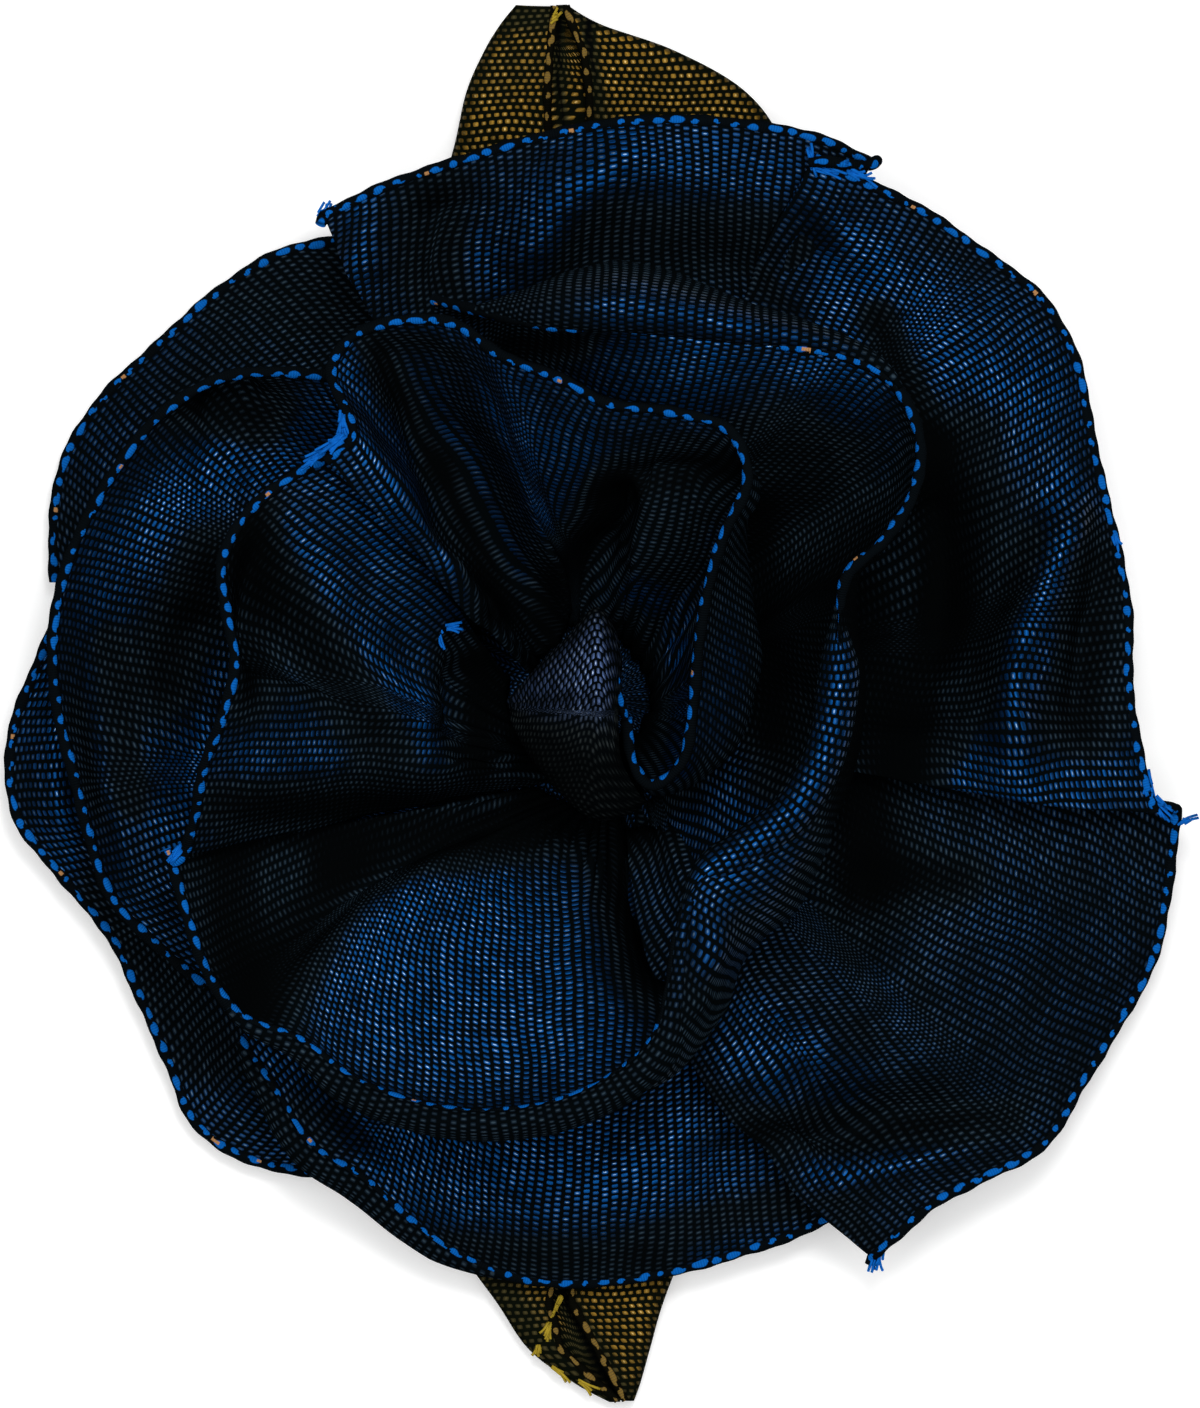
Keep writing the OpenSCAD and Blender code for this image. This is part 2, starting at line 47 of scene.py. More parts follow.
# Middle of the rose, where the ribbon is sewn
HUB = np.array([-0.5, 0.5])

# Thickness of the cloth, and of the wall that stands for it in the CAD part
CLOTH_T = 0.34
WALL_T = 1.0

# Gap between the sewn mound and the petals on it
SEAT_GAP = 0.3

# The sewn mound: its top, its fall to its edge, and the radii of its flat
# middle and of its edge
MOUND_TOP = 12.4
MOUND_RISE = 4.0
MOUND_FLAT_R = 3.0
MOUND_R = 15.0

# Millimetres a dip moves outwards for each one it goes down
DIP_OUT = 0.4

# Grid spacing along the ribbon, and grid points across it
STEP_ALONG = 0.45
ACROSS = 56

# Distance from the rim over which the folds come in, the share of a fold's
# height at its two ends, and the roundness of the bottom of a valley
RIM_FREE = 3.5
FOLD_END = 0.35
CREASE_R = 1.0

# Height of the soft dents in the cloth
RIPPLE_H = 0.05

# Ribbon taken up by one gather at the sewn edge, the share of it that shows,
# and the distance over which the gathers come in
GATHER_WAVE = 5.0
GATHER_SHARE = 0.55
GATHER_IN = 5.0

# Rows of a petal's table over which a tuck closes up the ribs
TUCK_ROWS = 0.9

# Painted shade on steep cloth: the upright part of the cloth's normal where the painted shade is deepest
# and only the black shows, and where the blue shows in full, with the least painted light of the cloth
TONE_STEEP = 0.35
TONE_LEVEL = 0.96
TONE_LOW = 0.42

# Distance from its sewn edge over which a petal comes out of the painted shade of the hollow at the hub
HOLLOW_W = 4.5

# Selvedge cords: radius on the petals, the leaves and the bud, and the sides and
# unevenness of the blue ones and of the leaves'
SELVEDGE_R = 0.42
LEAF_SELVEDGE_R = 0.36
BUD_SELVEDGE_R = 0.34
CORD_SIDES = 12
CORD_WOBBLE = 0.18
LEAF_CORD_SIDES = 10
LEAF_CORD_WOBBLE = 0.2

# Points of a selvedge for each step of its hook
HOOK_POINTS = 6

# Degrees that a rolled ridge turns to each side of its crest, and its thickness
RIDGE_TURN = 150
RIDGE_T = 0.2

# Degrees that a collar turns from its rim, and radians to its crest
COLLAR_TURN = 185
COLLAR_CREST = 1.2

# Shift of the weave from each petal to the next, so that no two look alike
PETAL_WEAVE = 40

# Loose threads: radius, sides, points along each, and how far they bend
THREAD_R = 0.11
THREAD_SIDES = 5
THREAD_POINTS = 6
THREAD_BEND = 0.35

# Camera, in metres: height of its view and where that is measured; then, in
# millimetres, its lens and sensor
VIEW_H = 0.1056
FOCUS_Z = 0.014
LENS = 1200
SENSOR = 36

# Each petal's table has a row for each section across the ribbon, in order
# along it: rim_x, rim_y, rim_z, base_deg, belly, rise, sway, dip
INNER_UPPER_ROWS = [
    [2, -1, 26, -98, 1, 0, 0, 0],
    [2.4, -4.2, 25.5, -84, 2, 0, 0, 0],
    [3.9, -6, 25, -66, 3, 0, 0, 0],
    [6.2, -4, 26, -48, 5, 0, 0, 0],
    [6.9, 0.5, 27.5, -28, 8, 0, 0, 0],
    [7.3, 4.6, 29, -6, 9, -1, 0, 0],
    [8, 8.6, 30.5, 12, 9, -2.5, 0, 0],
    [9.2, 12.6, 32, 26, 8, -3, 0, 0],
    [11, 16.8, 33, 38, 5, -1.5, 0, 0],
    [9.6, 20.6, 32.5, 50, 2, 2, 0, 0],
    [5.2, 22, 32, 62, 0, 4, 0, 0],
    [0.6, 22.6, 31.5, 76, 0, 4, 0, 0],
    [-2.8, 24.4, 30.5, 90, 0, 4, 0, 0],
    [-7.4, 26.2, 28.5, 104, 0, 4, 0, 0],
    [-11, 28.6, 26.5, 116, 0, 4, 0, 0],
    [-15, 28.8, 25.5, 126, 1, 0, 0, -2],
    [-18.6, 27.6, 25, 136, 1, 1, 0, -1],
    [-20.2, 25, 26, 144, 0, 4.5, 0, 1],
    [-19.2, 22.2, 28, 151, -1.5, 5, 0, 0],
    [-18.6, 20, 29, 158, -1, 5, 0, 0],
    [-20.6, 18.3, 28.8, 164, 0, 5, 0, 0],
]
INNER_LEFT_ROWS = [
    [-19.7, 18.9, 26.4, 168, 0, 3, 0, 0],
    [-21.6, 18, 26.2, 184, 0, 3.5, 0, 0],
    [-24.2, 16.4, 26.2, 198, 0, 4, 0, 0],
    [-26.8, 14, 26, 209, 0, 4, 0, 0],
    [-28.4, 10.6, 26.5, 218, 0, 4, 0, 0],
    [-28, 6.8, 27.5, 224, 0, 3, 0, 0],
    [-27.4, 3, 28.5, 229, 0, 2, 0, 0],
    [-28.4, -1, 28, 234, 0.5, 1.5, 0, 1],
    [-29.8, -4.8, 26, 239, 1, 2, 0, 2],
    [-30.4, -8.2, 23.5, 245, 1, 0, 0, 1],
    [-31.2, -11.2, 21.3, 254, 0, -3.5, 0, -0.8],
]
SCROLL_ROWS = [
    [-32.4, -11, 20, 238, 1, -4.5, 0, 0],
    [-31, -16, 21.5, 244, 2, -5.6, 0, 0.4],
    [-29.4, -20.4, 20.5, 250, 2, -5.4, -1, 0.8],
    [-26.8, -23.6, 19, 254, 3, -4.2, -4, 0.8],
    [-22.4, -25.4, 18.5, 258, 6, -1, -6, 2],
    [-18.8, -28, 19, 262, 9, -1, -4, 2],
    [-14.4, -29.8, 20.5, 266, 10, -2, -2, 3],
    [-9.2, -30.6, 22, 270, 10.5, -2, 0, 3],
    [-3.2, -29.8, 23.5, 274, 10.5, -2, 0, 3],
    [1.6, -27.4, 25, 279, 11.5, -2, 0, 2],
    [4.2, -24.6, 26.5, 285, 13, -1, 0, 0],
    [5.2, -20.8, 28.5, 292, 14, 0, 0, -3],
    [5.8, -16.8, 29.5, 300, 13, 2, 0, -7],
    [7.4, -13.2, 29, 310, 10, 4, 0, -11],
    [10.6, -11, 28, 321, 8, 5, 0, -13],
    [14.4, -8, 27.5, 333, 6, 5, 0, -14.5],
    [16.8, -3.6, 27.5, 344, 6, 5, 0, -14.5],
    [17.8, 1.6, 28, 355, 6, 4, 0, -12],
    [17.8, 6, 29.5, 365, 6, 2, 0, -6],
    [18.4, 9.6, 31, 375, 7, 0, 0, 0],
    [21, 12, 31, 385, 7, -2, 0, 0],
    [23.2, 15.2, 29, 395, 7, -3, 0, 0],
    [24, 18.8, 27.5, 405, 7, -3, 0, 0],
    [23.2, 22.2, 27, 414, 6, 0, 0, 0],
    [21.2, 24.8, 27, 422, 4, 3, 0, 0],
    [18, 26.2, 27.5, 430, 2, 4.5, 0, -1],
    [14.6, 26.8, 28, 437, 1, 5, 0, -2],
    [10.8, 27, 29, 444, 0, 4.5, 0, -2],
    [7, 27.4, 29.5, 451, 0, 4.5, 0, -2],
    [3, 27.8, 30, 458, 2, 2.5, 0, -1],
    [-1, 28, 30, 465, 5, 0, 0, 0],
    [-4.8, 28.4, 28.5, 472, 9.5, 0, 0, 0],
    [-8.4, 29.2, 23, 479, 9, -2, 0, 0],
    [-12.4, 30.4, 18, 486, 5, -2, 0, 0],
]
MIDDLE_LEFT_ROWS = [
    [-19.6, 24.6, 16, 134, 0, -1, 0, 0],
    [-24.4, 25, 16.5, 142, 2, -3, 0, 0],
    [-28.8, 24.4, 16, 150, 4, -5, 0, 0],
    [-33, 21.8, 15.5, 158, 4, -5, 0, 0],
    [-36.2, 18, 15, 165, 3, -4, 0, 0],
    [-38.8, 13.6, 14.5, 172, 3, -4, 0, 0],
    [-40.5, 9.2, 14, 179, 4, -5, 0, 1],
    [-41.2, 4.4, 13.5, 186, 5, -5.5, 0, 1.5],
    [-40.8, -0.6, 13, 193, 5, -5.5, 0, 1.5],
    [-39.6, -5.4, 12.5, 200, 5, -5.5, 0, 1.5],
    [-38.4, -10.2, 11.5, 207, 4, -5, 0, 1],
    [-36.8, -14.6, 10.5, 213, 3, -3.5, 0, 0],
    [-33.4, -18.2, 9.8, 219, 1, -2, 0, 0],
    [-29.8, -21.2, 9.4, 225, 0, -1, 0, 0],
]
MIDDLE_LOWER_ROWS = [
    [-27.2, -25.2, 9.4, 232, 0, -1, 0, 0.2],
    [-24.6, -29, 9.8, 240, 0, -0.8, 0, 0.5],
    [-21.8, -33.2, 9.5, 247, 0, -0.5, 0, -2],
    [-17.8, -35.8, 8.5, 253, 0, 1.5, 0, -6],
    [-14.2, -39, 6.8, 259, 1.5, 3.5, 0, -9],
    [-10.4, -41.6, 5.4, 265, 3, 4.5, 0, -11],
    [-5.4, -43.4, 4.8, 271, 3.5, 5, 0, -12],
    [0, -43.6, 4.6, 277, 3.5, 5, 0, -12],
    [5.2, -42.8, 4.8, 283, 3, 4.5, 0, -11],
    [10.4, -41.4, 4.6, 290, 2, 3, 0, -8],
    [15.6, -39.6, 4.2, 297, 0, 0.5, 0, -4],
    [20.4, -36.6, 4, 304, 0, -1, 0, 0],
]
OUTER_LOWER_RIGHT_ROWS = [
    [20.6, -41.6, 7.5, 284, 0, 2, -6, 0],
    [22.4, -40, 9, 290, 0, 3, -4, 0],
    [25.2, -37.6, 9, 297, 0, 1, -2, 0],
    [29, -35.6, 8.5, 304, 0, 2.5, -1, -1.5],
    [33.4, -33.2, 7.5, 311, 0, 3.5, 0, -3],
    [36.2, -28.8, 6, 318, 0, 4.5, 0, -3],
    [39, -24.2, 5, 325, 0, 4.5, 0, -3],
    [41.6, -19.4, 5, 332, 0, 4, 0, -4],
    [42.8, -14, 5.5, 339, 0, 2, 0, -5],
    [43.4, -8.8, 7, 346, 0, -1, 0, -5.5],
]
OUTER_RIGHT_ROWS = [
    [41.8, -8.2, 10.5, 342, 0, 2, -1, -3.6],
    [40.6, -3.8, 10.5, 350, 0, 5, 0, -9],
    [39.8, 1.4, 10, 359, 0, 6, 0, -14],
    [39.8, 6.4, 9, 368, 0, 6.5, 0, -16],
    [39, 11.4, 8.5, 377, 0, 6, 0, -16],
    [37.8, 16.4, 8.5, 384, 0, 5, 0, -14],
    [36.8, 21.2, 8.5, 391, 0, 4, 0, -9],
    [35.8, 26, 8.5, 398, 0, 4, 0, -7],
    [33.2, 30.6, 8.5, 404, 0, 4, 0, -8],
    [28.8, 34, 9, 410, 0, 4, 0, -10],
    [24.2, 37.2, 10.5, 416, 0, 3, 0, -5.5],
    [19.6, 39.4, 12, 422, 0, 2, 0, -3],
    [16, 41, 12.5, 427, 0, 2, 1, -2],
]
OUTER_TOP_ROWS = [
    [20.4, 40.8, 9.5, 57, 0, 0, 0, -5],
    [16.4, 42.6, 11, 67, 0, 2, 0, -9],
    [11.2, 43.6, 12.5, 77, 0, 3, 0, -12],
    [5.6, 44, 13, 84, 0, 3, 0, -13],
    [0, 43.6, 13, 91, 0, 2.5, 0, -12],
    [-5.6, 42.4, 12, 98, 0, 2, 0, -9],
    [-11, 40.8, 11, 105, 0, 1.5, 0, -9],
    [-16.2, 39, 10.5, 112, 0, 1, 0, -4],
    [-20.8, 36.8, 9.5, 119, 0, 1, 1, -1],
]
OUTER_LEFT_ROWS = [
    [-18.6, 35.2, 3, 116, 0, -1, 0, 0],
    [-24.2, 34, 2.5, 127, 0, 1, 0, 0],
    [-29.2, 30.8, 2.2, 137, 0, 2, 0, 0],
    [-33.4, 27, 2.2, 145, 0, 2, 0, 0],
    [-37.4, 23.2, 2.2, 152, 0, 2, 0, 0],
    [-40.2, 18.8, 2.2, 159, 0, 2, 0, 0],
    [-41.2, 14.2, 2.5, 165, 0, 1, 0, 0],
    [-41.2, 9.2, 2.8, 170, 0, 0, 0, 0],
]
BACK_LEFT_ROWS = [
    [-40.4, 7.6, 5.5, 173, 0, -0.5, 0, -2],
    [-42.6, 2.6, 5.5, 180, 0, 0, 0, -2.5],
    [-44.4, -2.6, 5, 187, 0, 0, 0, -2.5],
    [-44, -8.4, 4.5, 194, 0, 0, 0, -2.5],
    [-40.6, -13, 4, 201, 0, 0, 0, -2.5],
    [-37, -17.4, 4, 208, 0, 0.5, 0, -2],
    [-34.6, -22.4, 3.5, 215, 0, 1, 0, -2],
    [-32.4, -27.4, 3, 222, 0, 1, 0, -2],
    [-30.4, -31.8, 2.5, 229, 0, 1, 0, -2],
    [-26.4, -34.4, 2.5, 236, 0, 0, 0, -2],
    [-21.6, -35.4, 3, 243, 0, -1, 0, -2],
]

# Folds of a petal, each a line in plan from x0, y0 to x1, y1, with its half
# width and its height towards the petal's inner side; valleys are below zero
INNER_UPPER_FOLDS = [
    [-19.1, 26, -11.2, 12.3, 2.2, 1.8],
    [-11.2, 12.3, -8.4, 5.2, 2, 1.6],
    [-16.2, 27.5, -7.6, 6.6, 2.4, -3],
    [2, 16, -2.2, 5.2, 2.4, -5],
    [10, 15.8, 2, 16, 2, -3],
]
INNER_LEFT_FOLDS = [
    [-13.2, 5.2, -12.6, -3.4, 1.3, 1.2],
    [-10, 4, -9.6, -3.6, 1.6, -3],
    [-24, 13, -13, -4, 2.4, 1.6],
    [-26.8, 14.5, -25.6, 1.5, 2, -3.5],
    [-27, 10.5, -17, -2.5, 3, -4.5],
]
SCROLL_FOLDS = [
    [2.6, -9, 6, -21, 3, -6],
    [19, -9, 11.5, -17, 2.2, -1.4],
]
MIDDLE_LEFT_FOLDS = [
    [-21, 19.6, -32.8, 8.8, 3.6, 2.4],
    [-30.5, 23.6, -25, 22.6, 2.4, -2.5],
    [-29.6, 8, -33, 0, 3.4, -2.4],
    [-28.6, 2, -31.4, -9.2, 2.4, 2.4],
    [-37.6, 2, -36.2, -10, 1.8, -1.8],
]
MIDDLE_LOWER_FOLDS = [
    [-20, -28.6, -16, -34, 2.2, -1.8],
    [8, -32, 10, -38, 3, -1.2],
]
OUTER_LOWER_RIGHT_FOLDS = [
    [10.5, -34, 30.7, -29.7, 2.2, -3],
    [15, -36.2, 30, -32.8, 1.6, 1.4],
    [11, -27.4, 19, -25, 3, 1.8],
    [19.6, -22, 22.4, -28.4, 1.5, -1.6],
    [20.5, -9, 19.2, -21, 3.6, -3.5],
]
OUTER_RIGHT_FOLDS = [
    [18.4, 36, 12, 30, 3.6, -3.6],
    [36.2, 16, 31.9, 4.8, 1.9, 3.2],
    [31.9, 4.8, 30.9, -4.6, 1.9, 3],
    [37.4, 9.6, 35.6, -3.6, 1.6, -2.4],
    [25.6, 19, 24, 0, 4, -4],
    [30, -6.4, 40, -8.6, 1.6, 1],
]
OUTER_TOP_FOLDS = [
    [1.5, 42.4, -7, 31.6, 2.6, 2.4],
    [-17.8, 38, -17.8, 31, 1.8, 1.6],
    [-11.8, 40.4, -12.8, 30, 3, -3.5],
    [4, 33, 14, 32, 4, -1.6],
]
OUTER_LEFT_FOLDS = [
    [-17, 33, -24, 22, 4, -2],
]
BACK_LEFT_FOLDS = [
    [-41.2, 1.8, -40.6, -11.4, 1.9, 1.4],
    [-38, -16, -28, -30, 3, -1.8],
]

# Petals: table, folds, base radius at its two ends, height it stands up from
# the base, places of its tucks in rows of its table, places of the sections
# its ribs run with before, between and after them, and how far in from the rim
# its gathers start
PETALS = {
    "inner_upper_petal": (INNER_UPPER_ROWS, INNER_UPPER_FOLDS, 4.2, 4.4, 3, [4.5, 13.2], [2, 8.6, 16], 14),
    "inner_left_petal": (INNER_LEFT_ROWS, INNER_LEFT_FOLDS, 6, 6.2, 3, [5.5], [3, 8], 17),
    "scroll_petal":
        (SCROLL_ROWS, SCROLL_FOLDS, 8, 9.4, 4, [3, 12, 19, 25], [1.5, 8.8, 15.5, 22, 29], 20),
    "middle_left_petal":
        (MIDDLE_LEFT_ROWS, MIDDLE_LEFT_FOLDS, 9.8, 9.8, 3, [4, 9], [2, 6.5, 11], 12),
    "middle_lower_petal":
        (MIDDLE_LOWER_ROWS, MIDDLE_LOWER_FOLDS, 10.2, 13, 2, [3], [1.5, 7], 14),
    "outer_lower_right_petal":
        (OUTER_LOWER_RIGHT_ROWS, OUTER_LOWER_RIGHT_FOLDS, 10.1, 13.4, 3, [4], [1.5, 6.5], 20),
    "outer_right_petal":
        (OUTER_RIGHT_ROWS, OUTER_RIGHT_FOLDS, 10.9, 10.3, 3, [3.5, 9], [1.8, 6.5, 11], 18),
    "outer_top_petal": (OUTER_TOP_ROWS, OUTER_TOP_FOLDS, 13.1, 12.1, 2, [], [4], 17),
    "outer_left_petal": (OUTER_LEFT_ROWS, OUTER_LEFT_FOLDS, 14.8, 14.8, 0, [], [3], 14),
    "back_left_petal": (BACK_LEFT_ROWS, BACK_LEFT_FOLDS, 14.4, 14.4, 0, [5], [2.5, 8], 14),
}

# Places between which a rim turns over into a rounded ridge of cloth
RIDGES = {"scroll_petal": (12.3, 18.4)}
RIDGE_R = 1.2

# Collars, where a rim is turned outwards: place, reach, and how strong the painted
# highlight on its crest is, with the places where the turned rim hides its own edge
COLLARS = {
    "scroll_petal": [
        [[2.6, 0.1, 0], [3.4, 0.8, 0], [5, 1.8, 0], [7, 2, 0], [9.2, 2.2, 0],
         [10.4, 2.2, 0.1], [11.6, 1.6, 0.3], [12.6, 0.4, 0.5]],
        [[23.4, 0.1, 0], [24.5, 1, 0.1], [25.5, 1.5, 0.4], [26.5, 2.4, 0.6], [27.5, 3.4, 0.6],
         [28.5, 4.6, 0.6], [29.5, 5.2, 0.5], [30.5, 4, 0.2], [31.6, 1.8, 0], [32.3, 0.1, 0]],
    ],
    "middle_lower_petal": [
        [[0, 0.1, 0], [0.6, 0.8, 0], [1.5, 1.5, 0], [3, 1.7, 0], [4.6, 1.2, 0], [5.8, 0.1, 0]],
    ],
}
HIDDEN_EDGES = {"scroll_petal": [(12.3, 18.4), (26.2, 30.2)]}

# Sections added to the end of a petal, to run on under its neighbour
CARRIED_ON = {"outer_lower_right_petal": 3}

# Rim points added before and after a petal's own, where its selvedge turns back
HOOKS = {
    "outer_top_petal": (
        [[15.7, 40.6, 12.9], [16.9, 40.7, 13.1], [18.6, 40.5, 12.6], [20, 40.4, 11.2], [20.8, 40.8, 10]],
        [[-21, 36, 9.8]]),
    "inner_left_petal": ([], [[-32, -11.9, 20.8], [-32.5, -10.9, 20.9]]),
    "outer_lower_right_petal": ([[20.3, -42.1, 7.4]], [[43, -7.8, 8.4], [41.6, -7.4, 10.2]]),
}

# Frayed places: x, y, z, the way the threads run, how wide the tuft is, how
# long its threads are, and how many there are
FRAYS = {
    "inner_upper_petal": [
        [-19.3, 21.6, 28.8, 0.1, -1, 0.1, 0.35, 1.6, 14],
        [-19.2, 20, 29.4, -0.8, -0.6, 0, 0.4, 1.8, 14],
        [-20.6, 18.8, 29, -0.8, -0.6, -0.1, 0.35, 2, 12],
    ],
    "inner_left_petal": [
        [-12.2, 5.4, 20.4, 0.2, -1, 0, 0.45, 1.1, 18],
        [-11.4, 5.7, 20.7, 1, 0.2, 0, 0.2, 1.3, 6],
        [-31.3, -10.6, 21.6, -0.7, -0.8, -0.2, 0.4, 1.6, 10],
    ],
    "outer_top_petal": [
        [15.8, 41.6, 12.7, 0.3, -1, -0.1, 0.4, 1.8, 12],
        [16.2, 40.6, 12.9, 1, -0.4, -0.1, 0.5, 2.4, 14],
        [18.6, 39.9, 12.5, 1, -0.5, -0.1, 0.4, 2.2, 12],
        [-20.9, 36.6, 9.6, 0.5, 0.9, 0.1, 0.4, 1.4, 8],
    ],
    "outer_right_petal": [
        [41, -5.4, 10.7, 0.2, -1, 0, 0.4, 2, 14],
        [41.4, -7.2, 10.6, 0.7, -0.7, 0, 0.4, 2, 12],
        [38.7, 12.6, 8.9, 0.2, -1, 0.1, 0.3, 1.2, 6],
    ],
    "outer_lower_right_petal": [
        [20.8, -41.4, 7.8, -0.2, -1, -0.1, 0.4, 1.4, 8],
        [43.6, -9, 7.3, 0.7, 0.4, 0.3, 0.3, 1.2, 6],
    ],
}
LEAF_FRAYS = {
    "top_leaf": [
        [-3.6, 51.6, 2.6, 0.6, 0.8, 0, 0.3, 0.9, 6],
    ],
    "bottom_leaf": [
        [-3, -44.6, 3.2, -0.4, -1, 0, 0.15, 1.6, 7],
        [-3.8, -46.6, 2.9, -0.3, -1, 0, 0.15, 1.6, 7],
        [-4.6, -48.2, 2.6, -0.2, -1, 0, 0.15, 1, 6],
        [-3.6, -49.9, 2.4, 0.8, -0.6, 0, 0.15, 1.6, 5],
        [-1.6, -51, 2.3, 0.8, -0.5, 0, 0.15, 1.6, 5],
    ],
}

# Painted light and shade of each piece: the share of the blue of its two threads that it
# shows overall, and the places painted in shade towards the black or painted lit towards
# the blue: a line in plan from x0, y0 to x1, y1, half its width, and the shift
PAINTED_LIGHT_PATCHES = {
    "bud": (0.42, [
        [-4.6, 2.4, 0.4, 3.6, 3.6, 1.4],
        [-4, -4, 2, -5.6, 3.2, -0.7],
    ]),
    "inner_upper_petal": (0.62, [
        [-17.1, 26.9, -12, 17.6, 1.6, -0.9],
        [-12, 17.6, -7.5, 7, 2.2, -0.9],
        [10.1, 17.9, 0.8, 16.4, 1.8, -0.8],
        [1.1, 16.1, -4.1, 7, 2.5, -0.9],
        [3.8, 12.3, 6.8, 15.3, 3, -0.5],
        [-9, 20.6, -3, 17.6, 5.2, 0.5],
        [-3, 17.6, -4.1, 12.3, 3, 0.35],
        [-15.4, 21.3, -9.8, 8.5, 1.1, 0.9],
        [3, 8.5, 4.1, 8.2, 1.2, 1.2],
        [-18.6, 26.4, -14.4, 14.4, 1.7, 1],
        [5.6, 4.2, 5.9, -4.4, 1.1, 1.6],
    ]),
    "inner_left_petal": (0.62, [
        [-26.6, 14.5, -26.2, 1.1, 2.5, -0.75],
        [-27.8, 15.3, -16.1, -3.4, 3, -0.8],
        [-18, 20.6, -12, 10.8, 4.5, 0.5],
        [-23.2, 13, -12.8, -2.7, 1.3, 0.9],
        [-29.2, -4.2, -20.2, -4.2, 1.9, 0.3],
        [-9.4, 3.3, -9.2, -4.2, 1.9, -0.97],
        [-28.5, -7.2, -3, -8.3, 1.8, -0.8],
    ]),
    "scroll_petal": (0.66, [
        [-30, -9.4, -3, -9.1, 2.5, -0.9],
        [-28, -11, -27, -22.2, 3.5, -0.9],
        [-19.5, -12, -25.5, -22.5, 3.4, -0.9],
        [-20.2, -12.4, -6, -10.2, 1.9, -0.8],
        [1.1, -10.9, 4.1, -20.7, 3, -0.9],
        [-13.5, -19.2, -3, -22.2, 8.2, 0.4],
        [12.8, 20.6, 21, 8.5, 5.2, -0.75],
        [11.8, 14.5, 12.6, -2, 2.2, -0.9],
        [1.5, 25.1, 18, 24.3, 3.4, 1.1],
        [-6.8, 26.9, -1.5, 26.9, 1.3, -0.85],
        [15.6, 7.8, 13.8, -5.7, 2.8, -0.8],
        [20.2, 7, 19.4, -8, 3.4, -0.95],
        [17.8, 6.3, 17.4, -3.4, 1, 0.9],
        [17.4, -3.4, 9, -12.4, 1, 0.9],
        [10.5, -19.2, 16.5, -16.2, 1.9, 0.7],
        [7.5, -22.2, 1.5, -28.2, 1.2, -0.5],
    ]),
    "middle_left_petal": (0.62, [
        [-32.6, 23.9, -25.5, 21.3, 2.7, -0.85],
        [-20.2, 20.6, -30, 16.8, 1.9, 0.7],
        [-30, 16.8, -38.2, 8.5, 2.7, 0.5],
        [-21, 20.2, -19.9, 19.4, 1.8, 0.9],
        [-28.9, 10.8, -32.6, 1.8, 3.3, -0.85],
        [-29.6, 4.8, -32.2, -9.4, 1.3, 0.8],
        [-36.8, 4.8, -35.2, -7.2, 1.6, -0.7],
    ]),
    "middle_lower_petal": (0.62, [
        [-15.8, -34.2, 3.8, -34.2, 4.1, 0.5],
        [-22.5, -31.2, -18, -37.2, 2.2, -0.5],
        [-13.5, -40.9, 4.5, -41.9, 1.6, -0.75],
        [3, -40.2, 15, -37.2, 1.6, -0.6],
    ]),
    "outer_lower_right_petal": (0.42, [
        [11.2, -25.2, 17.2, -29.7, 3.4, 0.9],
        [12, -31.9, 30, -31.6, 1.9, -0.75],
        [16.5, -35.3, 30, -32.3, 1.2, 1],
        [18.8, 0.3, 20.2, -13.2, 3.8, -0.95],
        [20.2, -12.4, 27, -13.2, 1.9, -0.8],
        [30, -14.7, 37.5, -22.2, 4.5, 0.15],
    ]),
    "outer_right_petal": (0.42, [
        [20.5, 29.6, 31.5, 22.8, 5.6, 0.95],
        [27.4, 19.8, 27, 6.3, 3.2, -0.75],
        [20.8, 29, 25, 19, 1.7, -0.9],
        [25, 19, 25.6, 7, 2.2, -0.9],
        [25.6, 7, 22.4, -8, 2.4, -0.9],
        [35.4, 15.3, 31.7, 4.6, 2.2, 1.5],
        [31.3, 3.6, 29.4, -6, 2.6, 1.3],
        [37.6, 10, 36.2, -2, 2.5, -0.75],
        [32.4, 12.4, 26.8, -3, 1.3, -0.7],
        [28.5, -7.3, 39.8, -5.6, 2.4, 1],
        [19.5, 7.8, 22.5, -8.7, 3.4, -0.9],
        [24.4, 1.1, 25.5, 1.1, 1.2, 1.2],
        [16.5, 37.8, 19.5, 34.8, 3, 0.5],
    ]),
    "outer_top_petal": (0.45, [
        [0, 41.5, -7.5, 33.7, 2.5, 1.1],
        [2.2, 41, 13.5, 40, 2.6, 0.8],
        [-18.4, 37.8, -18, 31, 1.3, 0.7],
        [-12.8, 38.5, -12, 31, 2.5, -0.6],
        [1.5, 34.8, 14.2, 34.8, 3.3, -0.6],
    ]),
    "outer_left_petal": (0.36, [
        [-33.8, 28.1, -38.2, 19.1, 3, 0.4],
        [-26.2, 32.5, -20.2, 30.3, 3, -0.4],
    ]),
    "back_left_petal": (0.45, [
        [-42, 1.8, -40.5, -11.7, 1.5, 1.2],
        [-36, -14.7, -30, -25.9, 3, -0.4],
        [-30.8, -29.7, -22.5, -33.4, 1.9, 0.3],
    ]),
    "sewn_base": (0.55, []),
    "top_leaf": (0.9, [
        [-3.2, 52, -2.9, 43, 0.5, -0.95],
        [-0.9, 51.2, -0.1, 43, 0.6, -0.95],
        [-7.4, 51.9, -3.6, 51.9, 1.5, -0.7],
        [-9, 47, -4, 47.6, 2.4, -0.25],
    ]),
    "bottom_leaf": (0.8, [
        [-2.8, -44.4, 1.7, -52.4, 0.9, -0.95],
        [-3, -48.4, -0.8, -50.8, 1.3, -0.8],
        [-8, -43.5, -5.2, -47.5, 1.8, -0.6],
    ]),
}

